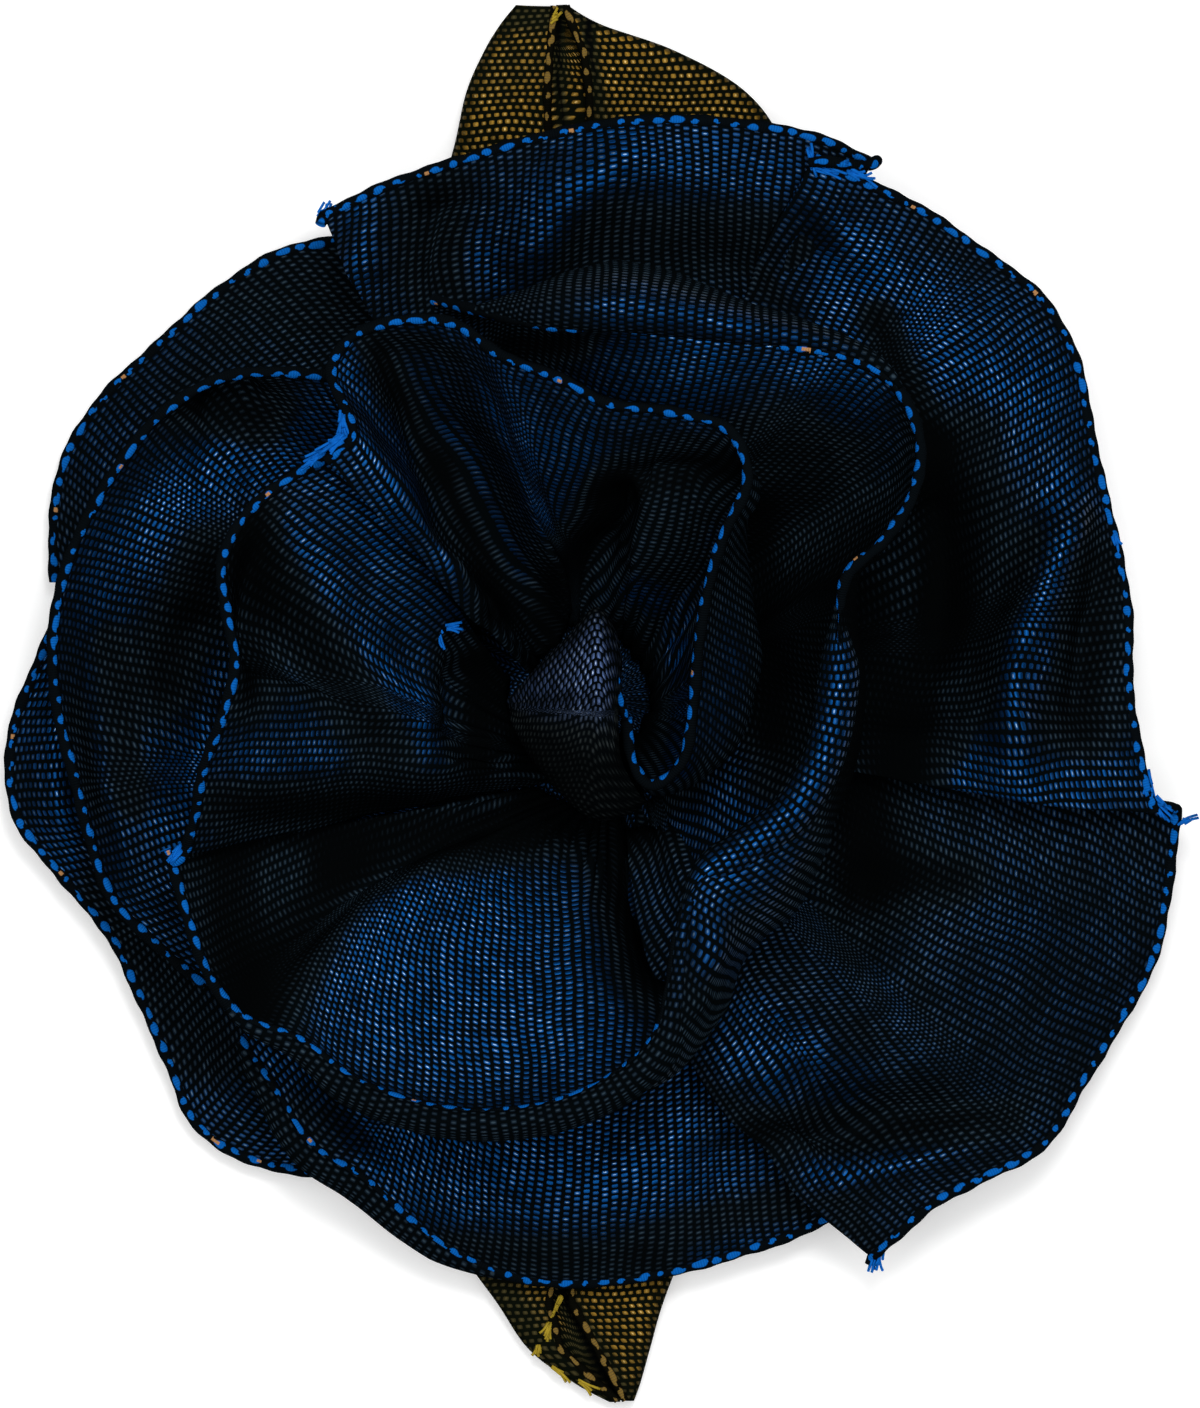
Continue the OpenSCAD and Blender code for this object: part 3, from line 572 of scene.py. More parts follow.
# Leaf tables: y, left_x, right_x, z of its middle
TOP_LEAF_ROWS = [
    [9.6, -5, 5, 5.4],
    [15, -8, 8.6, 5.1],
    [22, -11.6, 12.4, 4.4],
    [29, -13.2, 14.6, 3.6],
    [36, -12.4, 14.8, 2.8],
    [42, -10.8, 13.6, 2.3],
    [46, -9.9, 10.8, 2],
    [49, -8.6, 5.6, 1.7],
    [51, -7.4, 0, 1.5],
    [52.5, -6.2, -2.6, 1.3],
]
BOTTOM_LEAF_ROWS = [
    [-9.6, 5, -5, 5.4],
    [-15, 7.6, -8.4, 5.1],
    [-22, 10, -11.8, 4.4],
    [-29, 10.6, -13.4, 3.6],
    [-36, 8.6, -12.8, 2.8],
    [-41, 6.2, -10.4, 2.3],
    [-45, 4.6, -7.6, 2],
    [-48.5, 3.6, -5.2, 1.7],
    [-51, 2.9, -1.8, 1.4],
    [-52.4, 2.4, 0.8, 1.2],
]
LEAF_FOLD_R = 0.75

# Middle and half width of the slit between a leaf's selvedges, by y
TOP_LEAF_SEAM = [
    [9.6, 0, 0.5],
    [29, -0.4, 0.5],
    [36, -1.5, 0.9],
    [42, -2.3, 1.6],
    [46, -2.4, 1.6],
    [49, -2.5, 1.3],
    [51, -2.8, 0.8],
    [52.5, -3, 0.4],
]
BOTTOM_LEAF_SEAM = [
    [-9.6, 0, 0.5],
    [-29, 0, 0.5],
    [-36, -1.2, 0.5],
    [-41, -2.6, 0.5],
    [-45, -3, 0.9],
    [-48.5, -1.6, 1.4],
    [-51, 0.4, 0.8],
    [-52.4, 1.6, 0.3],
]

LEAVES = {
    "top_leaf": (TOP_LEAF_ROWS, TOP_LEAF_SEAM),
    "bottom_leaf": (BOTTOM_LEAF_ROWS, BOTTOM_LEAF_SEAM),
}

# Share of a leaf's fold radius by which its upper layer is arched, and the column of its
# grid, on its under side, that its weave runs with
LEAF_CROWN = 0.15
LEAF_LINE = 20

# The bud: ribbon folded over a ridge. Each row has four points: where the cloth above the
# ridge turns down, the ridge, the middle of the lower face, and where that turns down.
BUD_ROWS = [
    [-6.5, 0.3, 23.5, -6.7, -0.1, 24.6, -6.6, -0.5, 24, -6.2, -1.2, 22.5],
    [-4.4, 2.9, 24.6, -4.4, 0, 27.6, -4.8, -2, 26.6, -4.9, -4, 23],
    [-2.2, 5.1, 25, -2.2, 0.1, 29.2, -2.6, -3.4, 27.6, -3, -6.4, 22.5],
    [-0.3, 7.1, 24.8, -0.2, 0.2, 29.8, -0.8, -4.6, 27.6, -0.6, -8.4, 21.5],
    [1, 5.4, 24.6, 0.8, 0.3, 29.6, 0.9, -4.6, 27.2, 1.8, -8.2, 21.5],
    [1.5, 3.2, 24.4, 1.2, 0.3, 29, 1.5, -4.2, 26.6, 3.4, -7.2, 21.5],
]
BUD_FOOT_Z = 13

# The bud's selvedge, from its top down its right side to the rim of the inner turn
BUD_EDGE = [
    [0.5, 5.4, 24.9],
    [0.9, 3.4, 26.6],
    [1.2, 1.6, 27.6],
    [1.5, 0.2, 27.4],
    [1.9, -1, 26.6],
]
# Column of the bud's grid on its ridge, the column above it that its weave runs with, and
# how far the weave slants below the ridge
RIDGE_AT = 45
BUD_LINE = 30
BUD_SLANT = 0.9

# The sewn base's skin: gathered cloth drawn together underneath. Its profile is radius and
# height. Its gathers press into the mound: upwards below BASE_RIM_Z, and downwards above.
BASE_PROFILE = [
    [0.3, 7.3],
    [2, 7.05],
    [7, 7.05],
    [12, 7.1],
    [14.2, 7.2],
    [14.9, 7.8],
    [14.2, 8.5],
    [9, 10.3],
    [3, 12.2],
    [0.3, 12.3],
]
BASE_RIM_Z = 7.8
BASE_GATHERS = 46
BASE_RELIEF = 0.22
BASE_T = 0.1

# Millimetres of weave round the base
BASE_WEAVE = 96

# Rings of stitches under the base: radius, number, length; then their height, and how
# wide the two threads of each are spread
STITCHES = [[11.2, 26, 1.6], [6, 14, 1.5]]
STITCH_Z = 6.95
STITCH_W = 0.16


def spline(rows, places):
    """Rows of a table at fractional places, on a smooth curve through them."""
    rows = np.asarray(rows, float)
    last = len(rows) - 1
    i = np.minimum(np.floor(places).astype(int), last - 1)
    f = (places - i)[:, None]
    a, b, c, d = (rows[np.clip(i + k, 0, last)] for k in (-1, 0, 1, 2))
    return b + 0.5 * f * ((c - a) + f * ((2 * a - 5 * b + 4 * c - d) + f * (3 * b - a - 3 * c + d)))


def curve(rows, count):
    """Points at even places on the smooth curve through a table's rows."""
    return spline(rows, np.linspace(0, len(rows) - 1, count))


def unit(v):
    return v / np.maximum(np.linalg.norm(v, axis=-1, keepdims=True), 1e-9)


def smooth(x):
    x = np.clip(x, 0, 1)
    return x * x * (3 - 2 * x)


def lengths(points, axis):
    """Distance walked along one axis of a grid of points, from zero."""
    steps = np.linalg.norm(np.diff(points, axis=axis), axis=-1)
    pad = [(0, 0), (0, 0)]
    pad[axis] = (1, 0)
    return np.cumsum(np.pad(steps, pad), axis=axis)


def from_rim(grid):
    """Distance of each point of a grid from its last column, across it."""
    return lengths(grid[:, ::-1], 1)[:, ::-1]


def grid_normals(grid):
    return unit(np.cross(np.gradient(grid, axis=0), np.gradient(grid, axis=1)))


def near_line(grid, x0, y0, x1, y1):
    """For each point of a grid, how far it is along a line in plan, from 0 to 1, and how
    far it is from the line."""
    start = np.array([x0, y0])
    line = np.array([x1 - x0, y1 - y0])
    t = np.clip(((grid[..., :2] - start) @ line) / (line @ line), 0, 1)
    return t, np.linalg.norm(grid[..., :2] - start - t[..., None] * line, axis=-1)


def mound_height(r):
    return MOUND_TOP - MOUND_RISE * np.maximum(r - MOUND_FLAT_R, 0) / (MOUND_R - MOUND_FLAT_R)


def petal_surface(rows, r0, r1, spring):
    """Middle surface of a petal as a grid, along by across, and the places of its sections."""
    rim_length = lengths(curve(rows, 20 * len(rows))[:, None, :3], 0)[-1, 0]
    places = np.linspace(0, len(rows) - 1, int(rim_length / STEP_ALONG) + 1)
    row = spline(rows, places)
    rim = row[:, :3]
    turn = np.radians(row[:, 3])
    belly, rise, sway, dip = row[:, 4:].T
    out_x, out_y = unit(rim[:, :2] - HUB).T
    base_r = r0 + (r1 - r0) * places / places[-1]
    sewn = np.stack([HUB[0] + base_r * np.cos(turn), HUB[1] + base_r * np.sin(turn),
                     mound_height(base_r) + SEAT_GAP + WALL_T / 2], 1)
    push = np.stack([belly * out_x - sway * out_y, belly * out_y + sway * out_x, rise], 1)
    lift = np.stack([-DIP_OUT * dip * out_x, -DIP_OUT * dip * out_y, spring + dip], 1)
    third = (rim - sewn) / 3
    t = np.linspace(0, 1, ACROSS)[None, :, None]
    a, b, c, d = (p[:, None] for p in (sewn, sewn + third + push + lift, rim - third + push, rim))
    grid = a * (1 - t) ** 3 + 3 * b * t * (1 - t) ** 2 + 3 * c * t * t * (1 - t) + d * t ** 3
    return grid, places


def carried_on(grid, places, count):
    """A petal's grid with sections added at its end, in the direction it runs."""
    step = np.arange(1, count + 1)
    last = grid[-1:] + (grid[-1:] - grid[-2:-1]) * step[:, None, None]
    return np.concatenate([grid, last]), np.concatenate([places, places[-1] + 0.01 * step])


def fold(grid, folds):
    """Pushes a petal's cloth into its folds and valleys, but leaves its rim."""
    push = np.zeros(grid.shape[:2])
    for *line, half_width, height in folds:
        t, away = near_line(grid, *line)
        ends = FOLD_END + (1 - FOLD_END) * smooth(3 * np.minimum(t, 1 - t))
        if height > 0:
            push += height * ends * np.exp(-(away / half_width) ** 2)
        else:
            push += height * ends * np.exp(-(np.hypot(away, CREASE_R) - CREASE_R) / (0.8 * half_width))
    push *= smooth(from_rim(grid) / RIM_FREE)
    return grid - grid_normals(grid) * push[..., None]


def ripple(grid, along, across, gather_from):
    """Small waves in the cloth: soft dents all over, and gathers that take up the rim's
    length towards the sewn edge."""
    push = np.zeros(grid.shape[:2])
    for _ in range(3):
        wave = rng.uniform(6.0, 12.0)
        push += RIPPLE_H * np.sin(2 * math.pi * along / wave + rng.uniform(0, 6.28)
                                  + 0.15 * across * rng.uniform(-1, 1))
    for _ in range(6):
        wave = rng.uniform(7.0, 16.0)
        slant = rng.uniform(-1, 1)
        push += RIPPLE_H * np.sin(2 * math.pi * (along * slant + across) / wave + rng.uniform(0, 6.28))
    rate = np.linalg.norm(np.gradient(grid, axis=0), axis=-1)
    crowd = np.maximum(rate[:, -1:] / np.maximum(rate, 1e-6), 1)
    rim_walk = along[:, -1:]
    gather = GATHER_WAVE / (2 * math.pi) / crowd * np.sqrt(2 * np.maximum(crowd - 2.0, 0))
    gather *= GATHER_SHARE * smooth((across - gather_from) / GATHER_IN)
    push += gather * np.sin(2 * math.pi * rim_walk / GATHER_WAVE + 0.9 * np.sin(rim_walk * 0.31))
    push *= smooth(across / 3)
    return grid + grid_normals(grid) * push[..., None]


def weave_places(grid, places, tucks, straight):
    """Millimetres along and across the ribbon for each point. Between tucks its ribs keep
    their pitch and run with one section, at a place named in straight; the tucks take up the rest."""
    walked = lengths(grid, 0)
    offsets = []
    for place in straight:
        i = int(round(np.interp(place, places, np.arange(len(places)))))
        offsets.append(walked[i, -1] - walked[i])
    shift = np.tile(offsets[0], (len(places), 1))
    for place, before, after in zip(tucks, offsets, offsets[1:]):
        shift += smooth((places - place) / TUCK_ROWS + 0.5)[:, None] * (after - before)
    return walked + shift, from_rim(grid)


def painted_cloth_light(grid, share, painted_patches, hollow_r=0.0):
    """Painted light and shade at each point of a cloth, as how much of the blue shows: level
    cloth is painted lit and shows it, cloth that stands on edge is painted in shade and shows
    the black, a painted shade darkens it near the hollow at the hub when hollow_r is given,
    and the painted patches of its table shift it."""
    level = np.abs(grid_normals(grid)[..., 2])
    painted_light = TONE_LOW + (1 - TONE_LOW) * smooth((level - TONE_STEEP) / (TONE_LEVEL - TONE_STEEP))
    painted_light *= share
    if hollow_r:
        away = np.linalg.norm(grid[..., :2] - HUB, axis=-1)
        painted_light *= smooth((away - hollow_r) / HOLLOW_W)
    for *line, half_width, change in painted_patches:
        away = near_line(grid, *line)[1]
        painted_light *= 1 + change * np.exp(-(away / half_width) ** 3)
    return painted_light


def add_object(name, points, faces, uvs=None):
    """A smooth mesh from millimetre points, with one UV pair for each corner of each face."""
    mesh = bpy.data.meshes.new(name)
    mesh.from_pydata((points * MM).tolist(), [], faces)
    if uvs is not None:
        layer = mesh.uv_layers.new(name="weave")
        layer.data.foreach_set("uv", uvs.astype(np.float32).ravel())
    mesh.polygons.foreach_set("use_smooth", [True] * len(mesh.polygons))
    mesh.update()
    obj = bpy.data.objects.new(name, mesh)
    bpy.context.scene.collection.objects.link(obj)
    return obj


def grid_quads(nu, nv, wrap=False):
    """Corner numbers of the quads of a grid of points, wrapping across it if asked."""
    i = np.arange(nu - 1)[:, None]
    j = np.arange(nv if wrap else nv - 1)[None, :]
    k = (j + 1) % nv
    quads = np.stack([i * nv + j, i * nv + k, (i + 1) * nv + k, (i + 1) * nv + j], -1)
    return quads.reshape(-1, 4)


def sheet_object(name, grid, along, across, thickness, painted_light):
    """A closed thin shell round a grid, with the weave's places as its UV map and the painted
    light and shade of its colour at each point."""
    nu, nv = grid.shape[:2]
    below = nu * nv
    offset = grid_normals(grid) * thickness / 2
    points = np.concatenate([(grid - offset).reshape(-1, 3), (grid + offset).reshape(-1, 3)])
    quads = grid_quads(nu, nv)
    ring = np.concatenate([
        np.arange(nv),
        np.arange(2, nu + 1) * nv - 1,
        (nu - 1) * nv + np.arange(nv - 2, -1, -1),
        np.arange(nu - 2, 0, -1) * nv])
    after = np.roll(ring, -1)
    walls = np.stack([ring, ring + below, after + below, after], 1)
    faces = np.concatenate([quads, quads[:, ::-1] + below, walls])
    place = np.stack([np.broadcast_to(walked, (nu, nv)) for walked in (along, across)], -1)
    place = np.tile(place.reshape(-1, 2), (2, 1))
    obj = add_object(name, points, faces.tolist(), place[faces.ravel()])
    layer = obj.data.attributes.new("painted_light", "FLOAT", "POINT")
    layer.data.foreach_set("value", np.tile(painted_light.ravel(), 2).astype(np.float32))
    return obj


def tube_mesh(path, side, radius, sides):
    """Points and faces of a closed tube along a path. Side is the direction of angle zero at
    each point, square to the path."""
    other = np.cross(unit(np.gradient(path, axis=0)), side)
    turn = np.linspace(0, 2 * math.pi, sides, endpoint=False)[None, :, None]
    ring = side[:, None] * np.cos(turn) + other[:, None] * np.sin(turn)
    end = (len(path) - 1) * sides
    caps = [list(range(sides)), list(range(end + sides - 1, end - 1, -1))]
    faces = grid_quads(len(path), sides, wrap=True).tolist() + caps
    return (path[:, None] + ring * radius).reshape(-1, 3), faces


def tube_object(name, path, side, radius, sides, phase, wobble):
    """A selvedge cord along a path, uneven by its wobble. Its UV map has millimetres along
    it, and turns round it from 0 to 1."""
    tangent = unit(np.gradient(path, axis=0))
    side = unit(side - (side * tangent).sum(1, keepdims=True) * tangent)
    walked = lengths(path[:, None], 0)[:, 0]
    size = radius * (1 + wobble * np.sin(walked * 2.1 + phase) * np.sin(walked * 0.83 + 2 * phase))
    points, faces = tube_mesh(path, side, size[:, None, None], sides)
    along = walked + phase * 10
    turn = np.arange(sides + 1) / sides
    i, j = np.divmod(np.arange((len(path) - 1) * sides), sides)
    corners = [(i, j), (i, j + 1), (i + 1, j + 1), (i + 1, j)]
    uvs = np.stack([np.stack([along[a], turn[b]], 1) for a, b in corners], 1)
    cap_uvs = np.zeros((2 * sides, 2))
    return add_object(name, points, faces, np.concatenate([uvs.reshape(-1, 2), cap_uvs]))


def tuft_object(name, frays):
    """Loose threads at frayed places, each a thin bent tube, as one mesh."""
    points, faces = [], []
    t = np.linspace(0, 1, THREAD_POINTS)[:, None]
    for x, y, z, way_x, way_y, way_z, wide, long, count in frays:
        way = unit(np.array([way_x, way_y, way_z]))
        for _ in range(count):
            start = np.array([x, y, z]) + rng.normal(0, wide * 0.5, 3) * [1, 1, 0.4]
            bend = rng.normal(0, THREAD_BEND, 3)
            path = start + long * rng.uniform(0.5, 1.0) * (way * t + bend * t * t * 0.5)
            side = unit(np.cross(unit(np.gradient(path, axis=0)), [0.3, 0.5, 0.8]))
            thread, thread_faces = tube_mesh(path, side, THREAD_R, THREAD_SIDES)
            first = len(points) * len(thread)
            points.append(thread)
            faces += [[first + corner for corner in face] for face in thread_faces]
    return add_object(name, np.concatenate(points), faces)


# Shader helpers
class Output:
    """An output of a material's node. Arithmetic on it adds Math nodes."""

    def __init__(self, socket):
        self.socket = socket
        self.tree = socket.id_data

    def calc(self, operation, *others):
        inputs = dict(enumerate((self,) + others))
        return Output(new_node(self.tree, "Math", inputs, operation=operation).outputs[0])

    def __add__(self, other):
        return self.calc("ADD", other)

    def __sub__(self, other):
        return self.calc("SUBTRACT", other)

    def __mul__(self, other):
        return self.calc("MULTIPLY", other)

    def __truediv__(self, other):
        return self.calc("DIVIDE", other)


def feed(node, inputs):
    """Links outputs to a node's inputs, and sets plain numbers and colours on its own sockets."""
    for key, value in inputs.items():
        socket = node.inputs[key]
        if isinstance(value, Output):
            value.tree.links.new(value.socket, socket)
        elif socket.type == "RGBA":
            socket.default_value = (*value, 1)
        else:
            socket.default_value = value


def new_node(tree, kind, inputs, **settings):
    node = tree.nodes.new("ShaderNode" + kind)
    for setting, value in settings.items():
        setattr(node, setting, value)
    feed(node, inputs)
    return node


def new_material(name):
    material = bpy.data.materials.new(name)
    material.use_nodes = True
    return material, material.node_tree, material.node_tree.nodes["Principled BSDF"]


def ramp(value, low, high):
    """Zero below low, one above high, smooth between; low may be above high."""
    inputs = {"Value": value, "From Min": low, "From Max": high}
    node = new_node(value.tree, "MapRange", inputs, interpolation_type="SMOOTHSTEP")
    return Output(node.outputs["Result"])


def blend_colour(factor, a, b):
    return Output(new_node(factor.tree, "Mix", {0: factor, 6: a, 7: b}, data_type="RGBA").outputs[2])


def weave_uv(tree):
    """The weave's UV map, and its two coordinates."""
    uv = Output(new_node(tree, "UVMap", {}, uv_map="weave").outputs["UV"])
    split = new_node(tree, "SeparateXYZ", {0: uv})
    return uv, Output(split.outputs["X"]), Output(split.outputs["Y"])


def object_place(tree):
    return Output(new_node(tree, "TexCoord", {}).outputs["Object"])


def noise(vector, scale, detail):
    inputs = {"Vector": vector, "Scale": scale, "Detail": detail}
    return Output(new_node(vector.tree, "TexNoise", inputs).outputs["Fac"])


def chance(a, b):
    """A random number from 0 to 1 for each pair of whole numbers."""
    pair = Output(new_node(a.tree, "CombineXYZ", {0: a, 1: b}).outputs[0])
    node = new_node(a.tree, "TexWhiteNoise", {"Vector": pair}, noise_dimensions="2D")
    return Output(node.outputs["Value"])


def bump(height, distance, strength):
    inputs = {"Height": height, "Distance": distance, "Strength": strength}
    return Output(new_node(height.tree, "Bump", inputs).outputs["Normal"])


# Weave: millimetres its columns wander, the most that chance shifts one, in beads, and
# the spread of the beads' sizes
COLUMN_WANDER = 1.6
COLUMN_SHIFT = 0.25
BEAD_SPREAD = 0.06

# Colour painted on cloth as shade where its painted light is lowest, and how metallic and how streaked its
# lit threads are
UNLIT = (0.0010, 0.0014, 0.0016)
THREAD_SHINE = 0.8
THREAD_GRAIN = 0.85

# Selvedge: pitch of its dashes, of its ribs, and of the places where wire may show, the
# chance that it shows there, and the colour between the ribs of a dash
DASH_PITCH = 1.45
RIB_PITCH = 0.20
WIRE_PITCH = 0.35
WIRE_CHANCE = 0.015
RIB_SHADE = (0.0, 0.01, 0.04)


def shot_ribbon(name, weft, weft_dark, painted_glint, bead_in_shade, glint_in_shade, warp, column, bead, fill, roughness):
    """Plain-woven ribbon: columns of weft beads between warp threads, each column shifted
    by half a bead from its neighbours. Its colour holds painted light and shade: where the
    painted light is low its beads are painted in shade, dull and then black, and its glints
    are painted highlights. Column and bead are their pitches in millimetres, and fill has a
    bead's half sizes as shares of them."""
    material, tree, shader = new_material(name)
    uv, along, across = weave_uv(tree)
    painted_light = Output(new_node(tree, "Attribute", {}, attribute_name="painted_light").outputs["Fac"])

    # Where each point is in its bead, and a lucky number for each bead
    col = (along + (noise(uv, 0.12, 1.0) - 0.5) * COLUMN_WANDER) / column
    col_id = col.calc("FLOOR")
    half_bead = col_id.calc("MODULO", 2.0) * 0.5
    row = across / bead + (half_bead + chance(col_id, 3.0) * COLUMN_SHIFT)
    row_id = row.calc("FLOOR")
    luck = chance(col_id, row_id)
    wide = (col.calc("FRACT") - 0.5) / (luck * BEAD_SPREAD + fill[0])
    tall = (row.calc("FRACT") - 0.5) / (luck * BEAD_SPREAD + fill[1])
    wide = wide * wide
    tall = tall * tall
    thread = ramp(wide * wide + tall * tall, 1.5, 0.45)
    spot = wide * 2.5 + tall * 7.0

    # Beads in painted light with painted glints, beads in painted shade with fainter painted
    #     # glints, the warp between them, and painted black where the painted light is lowest
    patch = noise(uv, 0.35, 3.0)
    colour = blend_colour(luck * 0.5 + (patch * 1.6 - 0.35), weft_dark, weft)
    shine = ramp(chance(row_id, col_id) * patch, 0.12, 0.75) * ramp(spot, 1.4, 0.2)
    colour = blend_colour(shine, colour, painted_glint)
    uneven = noise(uv, 0.22, 3.0) * 0.9 + luck * 0.16 + 0.47
    shade_glint_spot = ramp(spot, 2.2, 0.2) * (luck * 0.7 + 0.3)
    colour = blend_colour(ramp(painted_light * uneven, 0.26, 0.98), blend_colour(shade_glint_spot, bead_in_shade, glint_in_shade), colour)
    colour = blend_colour(thread, warp, colour)
    colour = blend_colour(ramp(painted_light, 0.0, 0.25), UNLIT, colour)

    dome = (wide + tall).calc("MINIMUM", 1.6) * -1 + 1
    tangent = new_node(tree, "Tangent", {}, direction_type="UV_MAP", uv_map="weave")
    feed(shader, {
        "Base Color": colour,
        "Metallic": thread * (ramp(painted_light, 0.2, 0.55) * THREAD_SHINE),
        "Roughness": roughness,
        "Specular IOR Level": 0.0,
        "Anisotropic": THREAD_GRAIN,
        "Tangent": Output(tangent.outputs["Tangent"]),
        "Normal": bump(dome, 0.00005, 0.4),
    })
    return material


def selvedge(name, dash, cord_colour, fleck):
    """A rolled woven edge: a ribbed dark cord, with weft showing as dashes along its inner side
    and flecks of the wire inside it."""
    material, tree, shader = new_material(name)
    uv, along, turn = weave_uv(tree)
    place = along / DASH_PITCH + noise(uv, 0.5, 1.0) * 1.2
    dash_id = place.calc("FLOOR")
    luck = chance(dash_id, 5.0)
    turned = (turn + 0.5).calc("FRACT") - 0.5
    side = (turned - (chance(dash_id, 9.0) * 0.08 - 0.04)).calc("ABSOLUTE")
    end = (place.calc("FRACT") - 0.5) / (luck * 0.22 + 0.16)
    breadth = side / (luck * 0.05 + 0.08)
    lit = ramp(end * end + breadth * breadth, 1.1, 0.7)
    ribs = (along * (2 * math.pi / RIB_PITCH)).calc("COSINE")
    wire = chance((along / WIRE_PITCH).calc("FLOOR"), 2.0).calc("GREATER_THAN", 1 - WIRE_CHANCE)
    bright = blend_colour(ribs * 0.12 + 0.75, RIB_SHADE, dash)
    colour = blend_colour(lit, cord_colour, bright)
    feed(shader, {
        "Base Color": blend_colour(wire * ramp(side, 0.06, 0.03), colour, fleck),
        "Roughness": 0.6,
        "Specular IOR Level": 0.0,
        "Normal": bump(ribs * 0.25 + lit * 0.6, 0.00010, 0.8),
    })
    return material


def plain_thread(name, colour):
    """Loose thread, lightly streaked along its length."""
    material, tree, shader = new_material(name)
    streak = noise(object_place(tree), 2500.0, 2.0)
    dark = tuple(part * 0.4 for part in colour)
    feed(shader, {
        "Base Color": blend_colour(streak, dark, colour),
        "Roughness": 0.5,
        "Specular IOR Level": 0.0,
    })
    return material


def brushed_steel(name):
    """Nickel-plated steel with fine scratches along the pin and a little tarnish."""
    material, tree, shader = new_material(name)
    place = object_place(tree)
    stretch = new_node(tree, "Mapping", {"Vector": place, "Scale": (120, 4000, 4000)})
    scratch = noise(Output(stretch.outputs["Vector"]), 1.0, 3.0)
    tarnish = noise(place, 260.0, 4.0)
    feed(shader, {
        "Base Color": blend_colour(tarnish, (0.46, 0.45, 0.43), (0.72, 0.72, 0.73)),
        "Metallic": 1.0,
        "Roughness": scratch * 0.22 + 0.20,
        "Normal": bump(scratch, 0.00003, 0.35),
    })
    return material


blue_ribbon = shot_ribbon(
    "blue_ribbon", weft=(0.0034, 0.056, 0.200), weft_dark=(0.0014, 0.021, 0.080), painted_glint=(0.30, 0.47, 0.68),
    bead_in_shade=(0.0050, 0.0100, 0.0165), glint_in_shade=(0.030, 0.050, 0.068), warp=(0.0012, 0.0022, 0.0028),
    column=0.72, bead=0.42, fill=(0.27, 0.26), roughness=0.46)
bud_cloth = shot_ribbon(
    "bud_ribbon", weft=(0.055, 0.092, 0.200), weft_dark=(0.016, 0.026, 0.060), painted_glint=(0.55, 0.68, 0.90),
    bead_in_shade=(0.0060, 0.0080, 0.0085), glint_in_shade=(0.026, 0.032, 0.034), warp=(0.0012, 0.0020, 0.0026),
    column=0.62, bead=0.38, fill=(0.32, 0.26), roughness=0.46)
leaf_ribbon = shot_ribbon(
    "leaf_ribbon", weft=(0.20, 0.112, 0.016), weft_dark=(0.06, 0.035, 0.006), painted_glint=(0.55, 0.38, 0.14),
    bead_in_shade=(0.03, 0.026, 0.010), glint_in_shade=(0.06, 0.05, 0.02), warp=(0.0030, 0.0040, 0.0022),
    column=0.55, bead=0.60, fill=(0.23, 0.28), roughness=0.50)
blue_edge = selvedge("blue_edge", (0.004, 0.130, 0.520), (0.0020, 0.0032, 0.0042), (0.40, 0.20, 0.08))
leaf_edge = selvedge("leaf_edge", (0.22, 0.135, 0.02), (0.0030, 0.0030, 0.0018), (0.60, 0.42, 0.12))
blue_thread = plain_thread("blue_thread", (0.006, 0.150, 0.620))
gold_thread = plain_thread("gold_thread", (0.46, 0.33, 0.03))
navy_thread = plain_thread("navy_thread", (0.030, 0.045, 0.090))
steel = brushed_steel("pin_steel")


def dress(obj, material, piece=None):
    """Gives an object its material, slot and body, and a trim the piece it is on."""
    obj.data.materials.append(material)
    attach(obj, "root")
    if piece:
        obj.parent = piece
    return obj


def edge_object(name, grid, radius, phase):
    """The selvedge cord along a petal's rim, with its hooks."""
    rim = grid[:, -1]
    outward = unit(rim - grid[:, -2])
    path = rim - outward * radius[:, None] * 0.4
    seen = UP - 0.8 * grid_normals(grid)[:, -1] - 0.4 * outward
    before, after = HOOKS.get(name, ([], []))
    head = spline(before + [path[0]], np.linspace(0, len(before), HOOK_POINTS * len(before))[:-1])
    tail = spline([path[-1]] + after, np.linspace(0, len(after), HOOK_POINTS * len(after))[1:])
    ends = (len(head), len(tail))
    path = np.concatenate([head, path, tail])
    seen = np.pad(seen, (ends, (0, 0)), mode="edge")
    radius = np.pad(radius, ends, mode="edge")
    return tube_object(name + "_selvedge", path, seen, radius, CORD_SIDES, phase, CORD_WOBBLE)


def ridge_object(name, path, along):
    """A rounded ridge of cloth turned over along a rim."""
    tangent = unit(np.gradient(path, axis=0))
    up = unit(UP - tangent * tangent[:, 2:])
    other = np.cross(tangent, up)
    reach = np.linspace(0, 1, len(path))
    to_end = np.minimum(reach, 1 - reach)
    radius = RIDGE_R * smooth(4.5 * to_end) + 0.3
    a = np.radians(np.linspace(-RIDGE_TURN, RIDGE_TURN, 26))[None, :, None]
    ring = (up[:, None] * np.cos(a) + other[:, None] * np.sin(a)) * radius[:, None, None]
    grid = path[:, None] - [0, 0, RIDGE_R * 0.8] + ring
    # Painted highlight along its crest, and painted shade down its sides and towards its ends
    crest = np.clip(np.cos(a[..., 0]), 0, 1) ** 2
    painted_light = 0.25 + 0.75 * crest * smooth(6 * to_end)[:, None]
    return sheet_object(name, grid, along[:, None], RIDGE_R * a[..., 0], RIDGE_T, painted_light)


